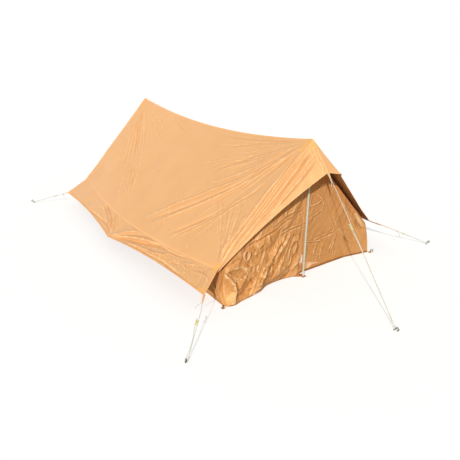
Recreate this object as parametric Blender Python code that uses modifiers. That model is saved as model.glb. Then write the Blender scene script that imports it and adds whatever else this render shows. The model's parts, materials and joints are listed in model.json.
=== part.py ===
"""A two-man army ridge tent, pitched: flysheet with skirts and hoods, inner tent with a two-leaf
door, two jointed poles, guy lines with line runners, and wire pegs driven into the ground.

Metres, +Z up. The origin is on the ground at the middle of the floor, the ridge runs along Y and
the door faces -Y. Cloth is drawn as sheets of stand-in thickness, with its main folds.
"""

import math

import bmesh
import bpy
from mathutils import Matrix, Vector
from mathutils.bvhtree import BVHTree

# Flysheet
POLE_HEIGHT = 1.000  # ground to the fly's peak at each pole
RIDGE_LENGTH = 2.485  # pole to pole
RIDGE_SAG = 0.095
EAVE_HALF_WIDTH = 0.720
EAVE_HEIGHT = 0.256
EAVE_SETBACK = 0.030  # eave corners lie this far inside the pole line
EAVE_BULGE = 0.104  # how far the pull-out draws the eave out at mid length
EAVE_DROP = 0.047
ROOF_HOLLOW = 0.014  # how far the stretched roof sinks between ridge and eave
FOLD_RISE = 1 / 3  # share of its length over which a tension fold rises to its full height
FOLD_FADE = 1 / 4  # and over which it fades at its far end
FOLD_LEFT = 0.3  # to this share of its height
HEM_MID = (0.988, 0.0, 0.111)
HEM_BOW = 0.028
HOOD_REACH = 0.156  # the hood's tip ahead of the pole
HOOD_DROP = 0.188  # and below the peak
HOOD_BOW = 0.024  # of the hood's edge towards its seam
HOOD_FLUTE = 0.005  # depth of the folds that run from the peak to the eave corner
HOOD_SPAN = 0.985  # share of the way to the eave corner that the hood is sewn in

# Where the skirt's corners end: out from the centre line, ahead of the pole line (or behind it at
# the rear), and their height. The pegs' places are given in the same way, and for the two pegs of
# the ridge the first value is to the right.
HEM_CORNER = {"front": (0.887, 0.072, 0.180), "rear": (0.920, 0.042, 0.120)}
PEG_PLACE = {
    "front_left": (1.172, 0.345),
    "front_right": (1.226, 0.190),
    "rear_left": (1.213, 0.270),
    "rear_right": (1.213, 0.270),
    "front_ridge": (-0.014, 0.805),
    "rear_ridge": (0.0, 0.805),
}

# Inner tent
INNER_HALF_WIDTH = 0.700
INNER_EAVE_HALF_WIDTH = 0.672
INNER_EAVE_HEIGHT = 0.250
INNER_HEIGHT = 0.940
INNER_SAG = 0.085
INNER_SETBACK = 0.030  # end walls stand this far inside the pole line
DOOR_HALF_WIDTH = 0.483
DOOR_STOP = 0.035  # the leaves stop this far under the inner peak
DOOR_LIFT = 0.0012  # and this far off the floor, as their slanting hinges dip them when they swing
WALL_BULGE = 0.010  # of the side walls' ends, between floor and eave
# How far the foot of an end wall stands outside the plane of its top
CORNER_REACH = 0.032
DOOR_REACH = {"left": 0.035, "right": -0.012}
ZIP_REACH = -0.018
PEAK_OPENING = 0.015  # the end walls stop this far under the inner peak
CRUMPLE = 0.007
DOOR_COLUMNS = 8
ZIP_STRIP = 1 / DOOR_COLUMNS  # share of a leaf's width that the zip keeps flat
SIDE_PANEL_COLUMNS = 5
WALL_ROWS, GABLE_ROWS = 4, 10  # rows of the end walls' grids below and above the eave

# Cloth, seams and webbing
CLOTH = 0.0018
FLOOR_CLOTH = 0.0022
FLOOR_TAB_HALF = 0.010
POLE_TAB_HALF = 0.018
HOLE_SIDES = 12
REAR_SCALLOP = 6  # how sharply the foot of the rear wall turns out to its corners
FLOOR_PEG_REACH = 0.018
GAP = 0.0004
WEBBING = 0.0020
WEBBING_WIDTH = 0.025

# Poles
POLE_RADIUS = 0.008
POLE_WALL = 0.0012
POLE_SECTIONS = 3  # lower, middle and upper
POLE_TIP_RADIUS = 0.003
SPIGOT_LENGTH = 0.040
FOOT_LENGTH = 0.030
CUP_RADIUS = 0.012  # the sewn-in cup that the pole's tip pushes up
CUP_WALL = 0.0025

# Guy lines, runners and pegs
CORD_RADIUS = 0.0019
PEG_RADIUS = 0.0035
PEG_LENGTH = 0.170
PEG_NECK = 0.016
PEG_HOOK_RADIUS = 0.008
PEG_LEAN_MOST = math.radians(35)
LOOP_HEIGHT = 0.012  # where the cord goes round a peg, above the ground
LOOP_PLAY = 0.0006
LOOP_STEPS = 8
RUNNER_LENGTH = 0.032
RUNNER_THICKNESS = 0.008
RUNNER_WEB = 0.0035
RUNNER_LUG = 0.006
RUNNER_RIM = 0.0018
TAB_LENGTH = 0.045
RUNNER_PLACE = {  # from the end of the tab to the middle of the runner, along the line
    "front_left": 0.145,
    "front_right": 0.080,
    "rear_left": 0.095,
    "rear_right": 0.095,
    "front_ridge": 0.330,
    "rear_ridge": 0.330,
}

# Door furniture
ZIP_SLIDER_LENGTH = 0.014
ZIP_SLIDER_WIDTH = 0.010
ZIP_SLIDER_THICKNESS = 0.004
ZIP_PULL_LENGTH = 0.032
ZIP_PULL_WIDTH = 0.006
ZIP_PULL_THICKNESS = 0.0018
ZIP_HEIGHT = 0.070
ZIP_STAND = 0.0008  # the slider rides this far off the cloth, on the teeth
TIE_WIDTH = 0.016
TIE_THICKNESS = 0.0016
TIE_PLACE = {  # in from the roof's edge, top above the inner eave, length
    "left": (0.106, 0.051, 0.045),
    "right": (0.016, 0.081, 0.110),
}
TIE_OPENING = 0.008
TIE_SEWN = 0.006
TIE_STEPS = 6

HALF = RIDGE_LENGTH / 2
ENDS = {"front": -1, "rear": 1}
SIDES = {"left": -1, "right": 1}
WALL_Y = HALF - INNER_SETBACK
FLOOR_TOP = FLOOR_CLOTH + GAP
WALL_TOP = INNER_EAVE_HEIGHT - CLOTH - GAP
GABLE_TOP = INNER_HEIGHT - PEAK_OPENING
DOOR_TOP = INNER_HEIGHT - DOOR_STOP
STRAND = PEG_RADIUS + CORD_RADIUS + LOOP_PLAY  # each strand lies this far off the line's middle

FINISHES = {  # colour in sRGB, roughness, metallic
    "fly_nylon": ((0.90, 0.67, 0.44), 0.45, 0.0),
    "inner_nylon": ((0.84, 0.58, 0.33), 0.50, 0.0),
    "floor_nylon": ((0.62, 0.42, 0.24), 0.55, 0.0),
    "webbing": ((0.93, 0.78, 0.56), 0.85, 0.0),
    "tube_aluminium": ((0.85, 0.86, 0.80), 0.40, 0.8),
    "zinc_steel": ((0.62, 0.63, 0.60), 0.40, 1.0),
    "cord": ((0.83, 0.84, 0.78), 0.90, 0.0),
    "runner_plastic": ((0.88, 0.87, 0.58), 0.50, 0.0),
}


def clear_scene():
    for item in list(bpy.data.objects):
        bpy.data.objects.remove(item, do_unlink=True)


def collection(name):
    made = bpy.data.collections.new(name)
    bpy.context.scene.collection.children.link(made)
    return made


def finish(name):
    """The Principled material of this name, made on first use."""
    if name in bpy.data.materials:
        return bpy.data.materials[name]
    colour, roughness, metallic = FINISHES[name]
    material = bpy.data.materials.new(name)
    material.use_nodes = True
    shader = material.node_tree.nodes["Principled BSDF"]
    shader.inputs["Base Color"].default_value = (*(c**2.2 for c in colour), 1.0)
    shader.inputs["Roughness"].default_value = roughness
    shader.inputs["Metallic"].default_value = metallic
    material.diffuse_color = (*colour, 1.0)
    return material


def add_object(name, data, material):
    made = bpy.data.objects.new(name, data)
    data.materials.append(finish(material))
    tent.objects.link(made)
    return made


def lerp(a, b, t):
    return a + (b - a) * t


def bump(t):
    """0 at both ends of the range, 1 halfway."""
    return 4 * t * (1 - t)


def crease(p, start, end, width, height):
    """The height at p of a straight fold from start to end, both in the cloth's own plane."""
    along = end - start
    t = max(0.0, min(1.0, (p - start).dot(along) / along.length_squared))
    distance = (p - start - along * t).length
    strength = min(1.0, t / FOLD_RISE, FOLD_LEFT + (1 - t) / FOLD_FADE)
    return height * math.exp(-((distance / width) ** 2)) * strength


def cloth(name, shape, columns, rows, through, material):
    """A sheet: a grid shaped by shape(u, v), each 0 to 1, then extruded by the vector through."""
    bm = bmesh.new()
    bmesh.ops.create_grid(bm, x_segments=columns, y_segments=rows, size=0.5)
    for vert in bm.verts:
        vert.co = shape(vert.co.x + 0.5, vert.co.y + 0.5)
    made = bmesh.ops.extrude_face_region(bm, geom=bm.faces[:])
    back = [item for item in made["geom"] if isinstance(item, bmesh.types.BMVert)]
    bmesh.ops.translate(bm, verts=back, vec=through)
    bmesh.ops.recalc_face_normals(bm, faces=bm.faces[:])
    mesh = bpy.data.meshes.new(name)
    bm.to_mesh(mesh)
    bm.free()
    mesh.shade_smooth()
    mesh.set_sharp_from_angle(angle=math.radians(50))
    return add_object(name, mesh, material)


def tube(name, points, radius, material, resolution=2):
    """A round bar or cord along the points."""
    curve = bpy.data.curves.new(name, "CURVE")
    curve.dimensions = "3D"
    curve.bevel_depth = radius
    curve.bevel_resolution = resolution
    curve.use_fill_caps = True
    spline = curve.splines.new("POLY")
    spline.points.add(len(points) - 1)
    for slot, point in zip(spline.points, points):
        slot.co = (*point, 1.0)
    return add_object(name, curve, material)


def turned(name, profile, ring, place, material, steps=16):
    """A turned piece from (radius, height) points. A ring's profile closes on itself."""
    count = len(profile)
    edges = [(i, i + 1) for i in range(count - 1)]
    if ring:
        edges.append((count - 1, 0))
    mesh = bpy.data.meshes.new(name)
    mesh.from_pydata([(r, 0, z) for r, z in profile], edges, [])
    made = add_object(name, mesh, material)
    made.location = place
    screw = made.modifiers.new("turn", "SCREW")
    screw.steps = screw.render_steps = steps
    screw.use_merge_vertices = True
    screw.merge_threshold = 0.00001
    return made


def ribbon(name, path, across, thickness, material):
    """Webbing along a path of points, as wide as the vector across, with its middle on the path."""
    bm = bmesh.new()
    rows = [
        (bm.verts.new(point - across / 2), bm.verts.new(point + across / 2)) for point in path
    ]
    for near, far in zip(rows, rows[1:]):
        bm.faces.new((near[0], near[1], far[1], far[0]))
    mesh = bpy.data.meshes.new(name)
    bm.to_mesh(mesh)
    bm.free()
    made = add_object(name, mesh, material)
    solidify = made.modifiers.new("thickness", "SOLIDIFY")
    solidify.thickness = thickness
    solidify.offset = 0
    return made


def block(name, size, place=(0, 0, 0)):
    """A cutter: a box in its own collection that is not part of the tent."""
    bm = bmesh.new()
    bmesh.ops.create_cube(bm, size=1)
    bmesh.ops.scale(bm, vec=size, verts=bm.verts)
    bmesh.ops.translate(bm, vec=place, verts=bm.verts)
    return add_cutter(name, bm)


def drill(name, radius, length, place=(0, 0, 0), turn=None, sides=12):
    bm = bmesh.new()
    bmesh.ops.create_cone(
        bm, cap_ends=True, segments=sides, radius1=radius, radius2=radius, depth=length
    )
    if turn is not None:
        bmesh.ops.transform(bm, matrix=turn, verts=bm.verts)
    bmesh.ops.translate(bm, vec=place, verts=bm.verts)
    return add_cutter(name, bm)


def add_cutter(name, bm):
    mesh = bpy.data.meshes.new(name)
    bm.to_mesh(mesh)
    bm.free()
    made = bpy.data.objects.new(name, mesh)
    made.hide_render = True
    made.display_type = "WIRE"
    cutters.objects.link(made)
    return made


def cut(body, cutter):
    boolean = body.modifiers.new(cutter.name, "BOOLEAN")
    boolean.operation = "DIFFERENCE"
    boolean.object = cutter


# Lines of the flysheet


def ridge_point(s):
    """The ridge seam, from the front peak (s = 0) to the rear one (s = 1)."""
    return Vector((0, lerp(-HALF, HALF, s), POLE_HEIGHT - RIDGE_SAG * bump(s)))


def eave_point(side, s):
    return Vector(
        (
            side * (EAVE_HALF_WIDTH + EAVE_BULGE * bump(s)),
            lerp(-HALF + EAVE_SETBACK, HALF - EAVE_SETBACK, s),
            EAVE_HEIGHT - EAVE_DROP * bump(s),
        )
    )


def hem_corner(end, side):
    out, ahead, height = HEM_CORNER[end]
    return Vector((side * out, ENDS[end] * (HALF + ahead), height))


def hem_point(side, s):
    """The skirt's bottom edge: two drawn-in stretches that meet at the side pull-out."""
    middle = Vector((side * HEM_MID[0], HEM_MID[1], HEM_MID[2]))
    if s < 0.5:
        t = s / 0.5
        on_chord = lerp(hem_corner("front", side), middle, t)
    else:
        t = (s - 0.5) / 0.5
        on_chord = lerp(middle, hem_corner("rear", side), t)
    inward = (eave_point(side, s) - on_chord).normalized()
    return on_chord + inward * HEM_BOW * bump(t)


def roof_shape(side):
    """One slope of the fly, hollow between ridge and eave, with its tension folds."""
    length, slope = RIDGE_LENGTH, math.hypot(EAVE_HALF_WIDTH, POLE_HEIGHT - EAVE_HEIGHT)
    folds = [
        (Vector((0.02, 0.02)), Vector((0.36 * length, slope)), 0.035, 0.011),
        (Vector((0.02, 0.02)), Vector((0.22 * length, slope)), 0.030, 0.009),
        (Vector((0.10, 0.02)), Vector((0.50 * length, 0.80 * slope)), 0.045, -0.008),
        (Vector((0.98 * length, 0.02)), Vector((0.70 * length, slope)), 0.040, 0.010),
        (Vector((0.98 * length, 0.02)), Vector((0.84 * length, slope)), 0.035, 0.007),
    ]
    outward = Vector((side, 0, 1)).normalized()

    def shape(s, v):
        point = lerp(ridge_point(s), eave_point(side, s), v)
        flat = Vector((s * length, v * slope))
        rise = sum(crease(flat, *fold) for fold in folds) - ROOF_HOLLOW
        held = min(1.0, 6 * s, 6 * (1 - s)) * bump(v)
        return point + outward * rise * held + Vector((side * GAP / 2, 0, 0))

    return shape


def skirt_shape(side):
    def shape(s, v):
        point = lerp(eave_point(side, s), hem_point(side, s), v)
        pucker = 0.006 * math.sin(2 * math.pi * 9 * s) * (1 - s) * bump(v)
        fan = 0.008 * math.exp(-(((s - 0.5) / 0.06) ** 2)) * bump(v)
        return point + Vector((side * 1.5 * GAP, 0, pucker - fan))

    return shape


def hood_tip(end):
    return Vector((0, ENDS[end] * (HALF + HOOD_REACH), POLE_HEIGHT - HOOD_DROP))


def hood_shape(end):
    """The hood's two slopes, from the left eave corner over its tip to the right one."""
    peak = Vector((0, ENDS[end] * HALF, POLE_HEIGHT))
    gap = Vector((0, ENDS[end] * GAP, 0))

    def shape(u, v):
        across = (2 * u - 1) * HOOD_SPAN
        t = abs(across)
        corner = eave_point(math.copysign(1, across), 0 if end == "front" else 1)
        seam = lerp(peak, corner, t)
        edge = lerp(hood_tip(end), corner, t)
        width = seam - edge
        edge = edge + width.normalized() * HOOD_BOW * bump(t)
        flute = HOOD_FLUTE * math.sin(3 * math.pi * v) * bump(t)
        return lerp(edge, seam, v) + gap + Vector((0, ENDS[end] * flute, flute))

    return shape


def make_fly():
    below = Vector((0, 0, -CLOTH))
    for side_name, side in SIDES.items():
        cloth(f"fly_roof_{side_name}", roof_shape(side), 26, 11, below, "fly_nylon")
        cloth(f"fly_skirt_{side_name}", skirt_shape(side), 32, 4, below, "fly_nylon")
    for end in ENDS:
        cloth(f"fly_hood_{end}", hood_shape(end), 20, 6, below, "fly_nylon")


# Poles


def peak_height(radius, depth):
    """Height on a cone that lies depth below the underside of the fly's peak."""
    hood_slope = HOOD_DROP / HOOD_REACH
    roof_slope = (POLE_HEIGHT - EAVE_HEIGHT) / EAVE_HALF_WIDTH
    return POLE_HEIGHT - CLOTH - GAP - depth - math.hypot(hood_slope, roof_slope) * radius


def make_pole(end):
    """Three tube sections: each spigot is the swaged top of the section below it."""
    y = ENDS[end] * HALF
    under_cup = CUP_WALL + GAP
    shoulder = peak_height(POLE_RADIUS, under_cup)
    pitch = (shoulder - FLOOR_TOP + GAP) / POLE_SECTIONS - GAP
    bore = POLE_RADIUS - POLE_WALL
    spigot = bore - GAP
    spigot_bore = spigot - POLE_WALL
    inside = [(bore, pitch - POLE_RADIUS), (spigot_bore, pitch)]
    outside = [
        (spigot_bore, pitch + SPIGOT_LENGTH),
        (spigot, pitch + SPIGOT_LENGTH),
        (spigot, pitch),
        (POLE_RADIUS, pitch),
    ]
    tip = peak_height(POLE_TIP_RADIUS, under_cup) - shoulder + pitch
    profiles = {
        "lower": [
            (0, FOOT_LENGTH),
            (bore, FOOT_LENGTH),
            *inside,
            *outside,
            (POLE_RADIUS, FOOT_LENGTH / 3),
            (0.7 * POLE_RADIUS, 0),
            (0, 0),
        ],
        "middle": [(bore, 0), *inside, *outside, (POLE_RADIUS, 0)],
        "upper": [
            (0, tip),
            (POLE_TIP_RADIUS, tip),
            (POLE_RADIUS, pitch),
            (POLE_RADIUS, 0),
            (bore, 0),
            (bore, pitch - FOOT_LENGTH),
            (0, pitch - FOOT_LENGTH),
        ],
    }
    for index, (name, profile) in enumerate(profiles.items()):
        bottom = FLOOR_TOP + index * (pitch + GAP)
        ring = name == "middle"
        turned(f"{end}_pole_{name}", profile, ring, (0, y, bottom), "tube_aluminium")
    turned(
        f"peak_cup_{end}",
        [
            (0, peak_height(POLE_TIP_RADIUS, 0)),
            (POLE_TIP_RADIUS, peak_height(POLE_TIP_RADIUS, 0)),
            (CUP_RADIUS, peak_height(CUP_RADIUS, 0)),
            (CUP_RADIUS, peak_height(CUP_RADIUS, CUP_WALL)),
            (POLE_TIP_RADIUS, peak_height(POLE_TIP_RADIUS, CUP_WALL)),
            (0, peak_height(POLE_TIP_RADIUS, CUP_WALL)),
        ],
        False,
        (0, y, 0),
        "webbing",
    )


# Inner tent


def inner_ridge_height(s):
    return INNER_HEIGHT - INNER_SAG * bump(s)


def inner_roof_shape(side):
    def shape(s, v):
        x = INNER_EAVE_HALF_WIDTH * v
        y = lerp(-WALL_Y, WALL_Y, s)
        z = lerp(inner_ridge_height(s), INNER_EAVE_HEIGHT, v)
        return Vector((side * (x + GAP / 2), y, z))

    return shape


def wall_x(z, at_end):
    """How far out a side wall stands at height z. at_end is 1 at the end walls, 0 halfway."""
    t = min(1.0, z / INNER_EAVE_HEIGHT)
    return lerp(INNER_HALF_WIDTH, INNER_EAVE_HALF_WIDTH, t) + WALL_BULGE * bump(t) * at_end**3


def corner_reach(z):
    """How far the corner pegs pull the foot of the corner past the end wall's plane."""
    return CORNER_REACH * max(0.0, (WALL_TOP - z) / (WALL_TOP - FLOOR_TOP))


def inner_wall_shape(side):
    def shape(s, v):
        z = lerp(FLOOR_TOP, WALL_TOP, v)
        reach = WALL_Y + corner_reach(z)
        return Vector((side * wall_x(z, abs(2 * s - 1)), lerp(-reach, reach, s), z))

    return shape


def gable_height(v):
    """The height of a share v of the end wall's rows, with one row at the side walls' top."""
    row = v * (WALL_ROWS + GABLE_ROWS)
    if row <= WALL_ROWS:
        return lerp(FLOOR_TOP, WALL_TOP, row / WALL_ROWS)
    return lerp(WALL_TOP, GABLE_TOP, (row - WALL_ROWS) / GABLE_ROWS)


def gable_half_width(z):
    """Half the inner tent's width at height z, just under its roof and inside its side walls."""
    roof_top = INNER_HEIGHT - CLOTH - GAP
    slope_x = (roof_top - z) / (INNER_HEIGHT - INNER_EAVE_HEIGHT) * INNER_EAVE_HALF_WIDTH
    return min(slope_x, wall_x(z, 1) - CLOTH - GAP)


def seam_half_width(z):
    """Half the doorway's width at height z."""
    return DOOR_HALF_WIDTH * (INNER_HEIGHT - z) / INNER_HEIGHT


def crumple(x, z):
    """The soft, slanting folds of a hanging wall."""
    return (
        0.6 * math.sin(21 * x + 13 * z)
        + 0.4 * math.sin(-34 * x + 9 * z + 1)
        + 0.3 * math.sin(47 * (x + z) + 2)
    )


def seam_reach(name, z):
    """How far a door's seam stands out at height z. The seams and the zip are straight lines."""
    return DOOR_REACH[name] * (1 - z / INNER_HEIGHT)


def zip_reach(z):
    return ZIP_REACH * (1 - z / INNER_HEIGHT)


def gable_y(end, x, z, fold, reach):
    """The inner face of an end wall: its folds by the share fold, and how far it stands out."""
    return ENDS[end] * (WALL_Y - GAP + CRUMPLE * crumple(x, z) * fold + reach)


def side_panel_span(z):
    """Where the fixed part of the front wall starts and ends at height z, from the centre line."""
    return seam_half_width(z) + GAP / 2, gable_half_width(z)


def side_panel_y(name, x, z):
    inside, outside = side_panel_span(z)
    u = (x - inside) / (outside - inside)
    v = (z - FLOOR_TOP) / (GABLE_TOP - FLOOR_TOP)
    reach = lerp(seam_reach(name, z), corner_reach(z), u)
    return gable_y("front", SIDES[name] * x, z, bump(u) * bump(v), reach)


def side_panel_shape(name):
    """The fixed part of the front wall, outside the door's slanting seam."""

    def shape(u, v):
        z = gable_height(v)
        x = lerp(*side_panel_span(z), u)
        return Vector((SIDES[name] * x, side_panel_y(name, x, z), z))

    return shape


def door_shape(name):
    """One door leaf, from the zip in the middle to its slanting seam. The left one is loose."""

    def shape(u, v):
        z = lerp(FLOOR_TOP + DOOR_LIFT, DOOR_TOP, v)
        x = SIDES[name] * lerp(GAP, seam_half_width(z) - GAP / 2, u)
        past_zip = max(0.0, (u - ZIP_STRIP) / (1 - ZIP_STRIP))
        fold = bump(past_zip) * (bump(v) if name == "right" else 1 - v)
        reach = lerp(zip_reach(z), seam_reach(name, z), past_zip)
        return Vector((x, gable_y("front", x, z, fold, reach), z))

    return shape


def rear_wall_shape(u, v):
    z = gable_height(v)
    across = lerp(-1, 1, u)
    x = across * gable_half_width(z)
    reach = corner_reach(z) * across**REAR_SCALLOP
    return Vector((x, gable_y("rear", x, z, bump(u) * bump(v), reach), z))


def floor_edge(end, side):
    """Half of an end edge of the floor, under the foot of the wall, from the corner inwards."""
    stations = (
        INNER_HALF_WIDTH,
        (INNER_HALF_WIDTH + DOOR_HALF_WIDTH) / 2,
        DOOR_HALF_WIDTH,
        DOOR_HALF_WIDTH * ZIP_STRIP,
    )
    if end == "front":
        reaches = (
            CORNER_REACH,
            (CORNER_REACH + DOOR_REACH[side]) / 2,
            DOOR_REACH[side],
            ZIP_REACH,
        )
    else:
        reaches = [CORNER_REACH * (x / INNER_HALF_WIDTH) ** REAR_SCALLOP for x in stations]
    return [
        Vector((SIDES[side] * x, ENDS[end] * (WALL_Y + CLOTH + reach), 0))
        for x, reach in zip(stations, reaches)
    ]


def floor_peg_place(end, side):
    corner = floor_edge(end, side)[0]
    return corner + Vector((SIDES[side], ENDS[end], 0)) * FLOOR_PEG_REACH


def corner_outline(end, side):
    """The floor's outline round one corner, from the tab under the pole to the side edge."""
    edge = floor_edge(end, side)
    peg_point = floor_peg_place(end, side)
    along, out = ENDS[end], SIDES[side]
    pole_tab = [
        Vector((out * POLE_TAB_HALF, along * (HALF + POLE_TAB_HALF), 0)),
        Vector((out * POLE_TAB_HALF, edge[-1].y, 0)),
    ]
    tab = [
        peg_point + Vector(step) * FLOOR_TAB_HALF
        for step in ((-out, along, 0), (out, along, 0), (out, -along, 0))
    ]
    side_edge = edge[0] + Vector((0, -along * 3 * FLOOR_TAB_HALF, 0))
    return pole_tab + edge[::-1] + tab + [side_edge]


def make_floor():
    """A flat outline with a tab under each pole's foot and a holed one at each corner."""
    curve = bpy.data.curves.new("groundsheet", "CURVE")
    curve.dimensions = "2D"
    curve.fill_mode = "BOTH"
    curve.extrude = FLOOR_CLOTH / 2
    outline = []
    for end, side in (("front", "right"), ("rear", "right"), ("rear", "left"), ("front", "left")):
        corner = corner_outline(end, side)
        outline += corner if ENDS[end] * SIDES[side] < 0 else corner[::-1]
        centre = floor_peg_place(end, side)
        angles = [2 * math.pi * i / HOLE_SIDES for i in range(HOLE_SIDES)]
        around = [Vector((math.cos(angle), math.sin(angle), 0)) for angle in angles]
        flat_outline(curve, [centre + spoke * (PEG_RADIUS + GAP) for spoke in around])
    flat_outline(curve, outline)
    made = add_object("groundsheet", curve, "floor_nylon")
    made.location = (0, 0, FLOOR_CLOTH / 2)


def flat_outline(curve, points):
    spline = curve.splines.new("POLY")
    spline.points.add(len(points) - 1)
    for slot, point in zip(spline.points, points):
        slot.co = (point.x, point.y, 0, 1)
    spline.use_cyclic_u = True


def make_inner():
    below = Vector((0, 0, -CLOTH))
    inward = Vector((0, CLOTH, 0))
    for side_name, side in SIDES.items():
        cloth(f"inner_roof_{side_name}", inner_roof_shape(side), 12, 5, below, "inner_nylon")
        cloth(
            f"inner_wall_{side_name}",
            inner_wall_shape(side),
            14,
            WALL_ROWS,
            Vector((-side * CLOTH, 0, 0)),
            "inner_nylon",
        )
        cloth(
            f"inner_front_{side_name}",
            side_panel_shape(side_name),
            SIDE_PANEL_COLUMNS,
            WALL_ROWS + GABLE_ROWS,
            -inward,
            "inner_nylon",
        )
        cloth(f"door_{side_name}", door_shape(side_name), DOOR_COLUMNS, 14, -inward, "inner_nylon")
    cloth(
        "inner_rear_wall", rear_wall_shape, 14, WALL_ROWS + GABLE_ROWS, inward, "inner_nylon"
    )


def make_zip_slider():
    """The slider and its pull, on the left leaf's edge. Its origin is on the zip's line."""
    mesh = bpy.data.meshes.new("zip_slider")
    bm = bmesh.new()
    bmesh.ops.create_cube(bm, size=1)
    body_size = (ZIP_SLIDER_WIDTH, ZIP_SLIDER_THICKNESS, ZIP_SLIDER_LENGTH)
    bmesh.ops.scale(bm, vec=body_size, verts=bm.verts)
    bmesh.ops.bevel(
        bm,
        geom=bm.edges[:],
        offset=ZIP_SLIDER_THICKNESS / 5,
        segments=2,
        profile=0.5,
        affect="EDGES",
    )
    middle = Vector((-ZIP_SLIDER_WIDTH / 2 - 2 * GAP, -ZIP_STAND - ZIP_SLIDER_THICKNESS / 2, 0))
    bmesh.ops.translate(bm, vec=middle, verts=bm.verts)
    bm.to_mesh(mesh)
    bm.free()
    slider = add_object("zip_slider", mesh, "zinc_steel")
    outer_face = gable_y("front", 0, ZIP_HEIGHT, 0, zip_reach(ZIP_HEIGHT)) - CLOTH
    lean = math.atan(-ZIP_REACH / INNER_HEIGHT)
    slider.matrix_world = Matrix.Translation((0, outer_face, ZIP_HEIGHT)) @ Matrix.Rotation(
        lean, 4, "X"
    )
    pull = block(
        "zip_pull",
        (ZIP_PULL_WIDTH, ZIP_PULL_THICKNESS, ZIP_PULL_LENGTH),
        middle
        - Vector(
            (0, ZIP_SLIDER_THICKNESS / 2, ZIP_PULL_LENGTH / 2 - ZIP_SLIDER_LENGTH / 4)
        ),
    )
    pull.matrix_world = slider.matrix_world
    join = slider.modifiers.new("pull", "BOOLEAN")
    join.operation = "UNION"
    join.object = pull


def make_tie(name, inset, above_eave, length):
    """A loop of tape sewn to the front wall at its top and hanging clear of the folds below."""
    top = INNER_EAVE_HEIGHT + above_eave
    x = SIDES[name] * (gable_half_width(top) - inset)
    panel = bpy.data.objects[f"inner_front_{name}"].data
    tree = BVHTree.FromPolygons(
        [vert.co for vert in panel.vertices], [face.vertices for face in panel.polygons]
    )

    def clear_of_wall(heights):
        starts = [
            Vector((x + TIE_WIDTH * aside, -RIDGE_LENGTH, z))
            for aside in (-0.5, 0, 0.5)
            for z in heights
        ]
        nearest = min(tree.ray_cast(start, Vector((0, 1, 0)))[0].y for start in starts)
        return nearest - GAP - TIE_THICKNESS / 2

    turn = TIE_OPENING / 2
    low = top - length + turn
    sewn = top - TIE_SEWN
    back = clear_of_wall([lerp(top, top - length, i / 12) for i in range(13)])
    path = [
        Vector((x, clear_of_wall([top, (top + sewn) / 2, sewn]), top)),
        Vector((x, back, sewn)),
        Vector((x, back, low)),
    ]
    for i in range(1, TIE_STEPS + 1):
        angle = math.pi * i / TIE_STEPS
        path.append(
            Vector((x, back - turn + turn * math.cos(angle), low - turn * math.sin(angle)))
        )
    path.append(Vector((x, back - TIE_OPENING, top - TIE_WIDTH)))
    path.append(Vector((x, back - TIE_THICKNESS - GAP, sewn)))
    ribbon(f"door_tie_{name}", path, Vector((TIE_WIDTH, 0, 0)), TIE_THICKNESS, "webbing")


# Guy lines, runners and pegs


def peg(name, loop, away, lean):
    """A wire peg whose hook holds down what lies at the point loop. away points off the tent."""
    axis = (away * math.sin(lean) + Vector((0, 0, math.cos(lean)))).normalized()
    back = (away * math.cos(lean) - Vector((0, 0, math.sin(lean)))).normalized()
    bend = loop + axis * PEG_NECK
    centre = bend + back * PEG_HOOK_RADIUS
    points = [loop - axis * PEG_LENGTH, bend]
    for i in range(1, 7):
        angle = math.pi * i / 6
        points.append(
            centre
            - back * PEG_HOOK_RADIUS * math.cos(angle)
            + axis * PEG_HOOK_RADIUS * math.sin(angle)
        )
    points.append(points[-1] - axis * PEG_NECK * 0.7)
    return tube(name, points, PEG_RADIUS, "zinc_steel", resolution=1)


def runner_mesh():
    """A line runner: two drilled lugs joined by a web, lying along X with both strands in it."""
    hole = CORD_RADIUS + GAP + 0.0002
    width = 2 * (STRAND + hole + RUNNER_RIM)
    bm = bmesh.new()
    bmesh.ops.create_cube(bm, size=1)
    bmesh.ops.scale(bm, vec=(RUNNER_LENGTH, width, RUNNER_THICKNESS), verts=bm.verts)
    bmesh.ops.bevel(
        bm,
        geom=bm.edges[:],
        offset=RUNNER_THICKNESS / 4,
        segments=1,
        profile=0.5,
        affect="EDGES",
    )
    mesh = bpy.data.meshes.new("runner")
    bm.to_mesh(mesh)
    bm.free()
    body = bpy.data.objects.new("runner", mesh)
    cutters.objects.link(body)
    body.hide_render = True
    waist = RUNNER_LENGTH - 2 * RUNNER_LUG
    notch = width / 2
    for side in SIDES.values():
        cut(
            body,
            drill(
                f"runner_hole_{side}",
                hole,
                2 * RUNNER_LENGTH,
                (0, side * STRAND, 0),
                Matrix.Rotation(math.pi / 2, 4, "Y"),
                8,
            ),
        )
        cut(
            body,
            block(
                f"runner_notch_{side}",
                (waist, notch, 2 * RUNNER_THICKNESS),
                (0, side * (RUNNER_WEB / 2 + notch / 2), 0),
            ),
        )
    graph = bpy.context.evaluated_depsgraph_get()
    made = bpy.data.meshes.new_from_object(body.evaluated_get(graph))
    made.name = "line_runner"
    made.materials.clear()
    return made


def loop_round(peg_point, up_line, across, start, finish_at):
    """Points of a cord from start down one side of a peg, round it and back up the other."""
    points = [start + across * STRAND, peg_point + across * STRAND]
    for i in range(1, LOOP_STEPS):
        angle = math.pi * i / LOOP_STEPS
        points.append(
            peg_point
            + across * STRAND * math.cos(angle)
            - up_line * STRAND * math.sin(angle)
        )
    points += [peg_point - across * STRAND, finish_at - across * STRAND]
    return points


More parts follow.
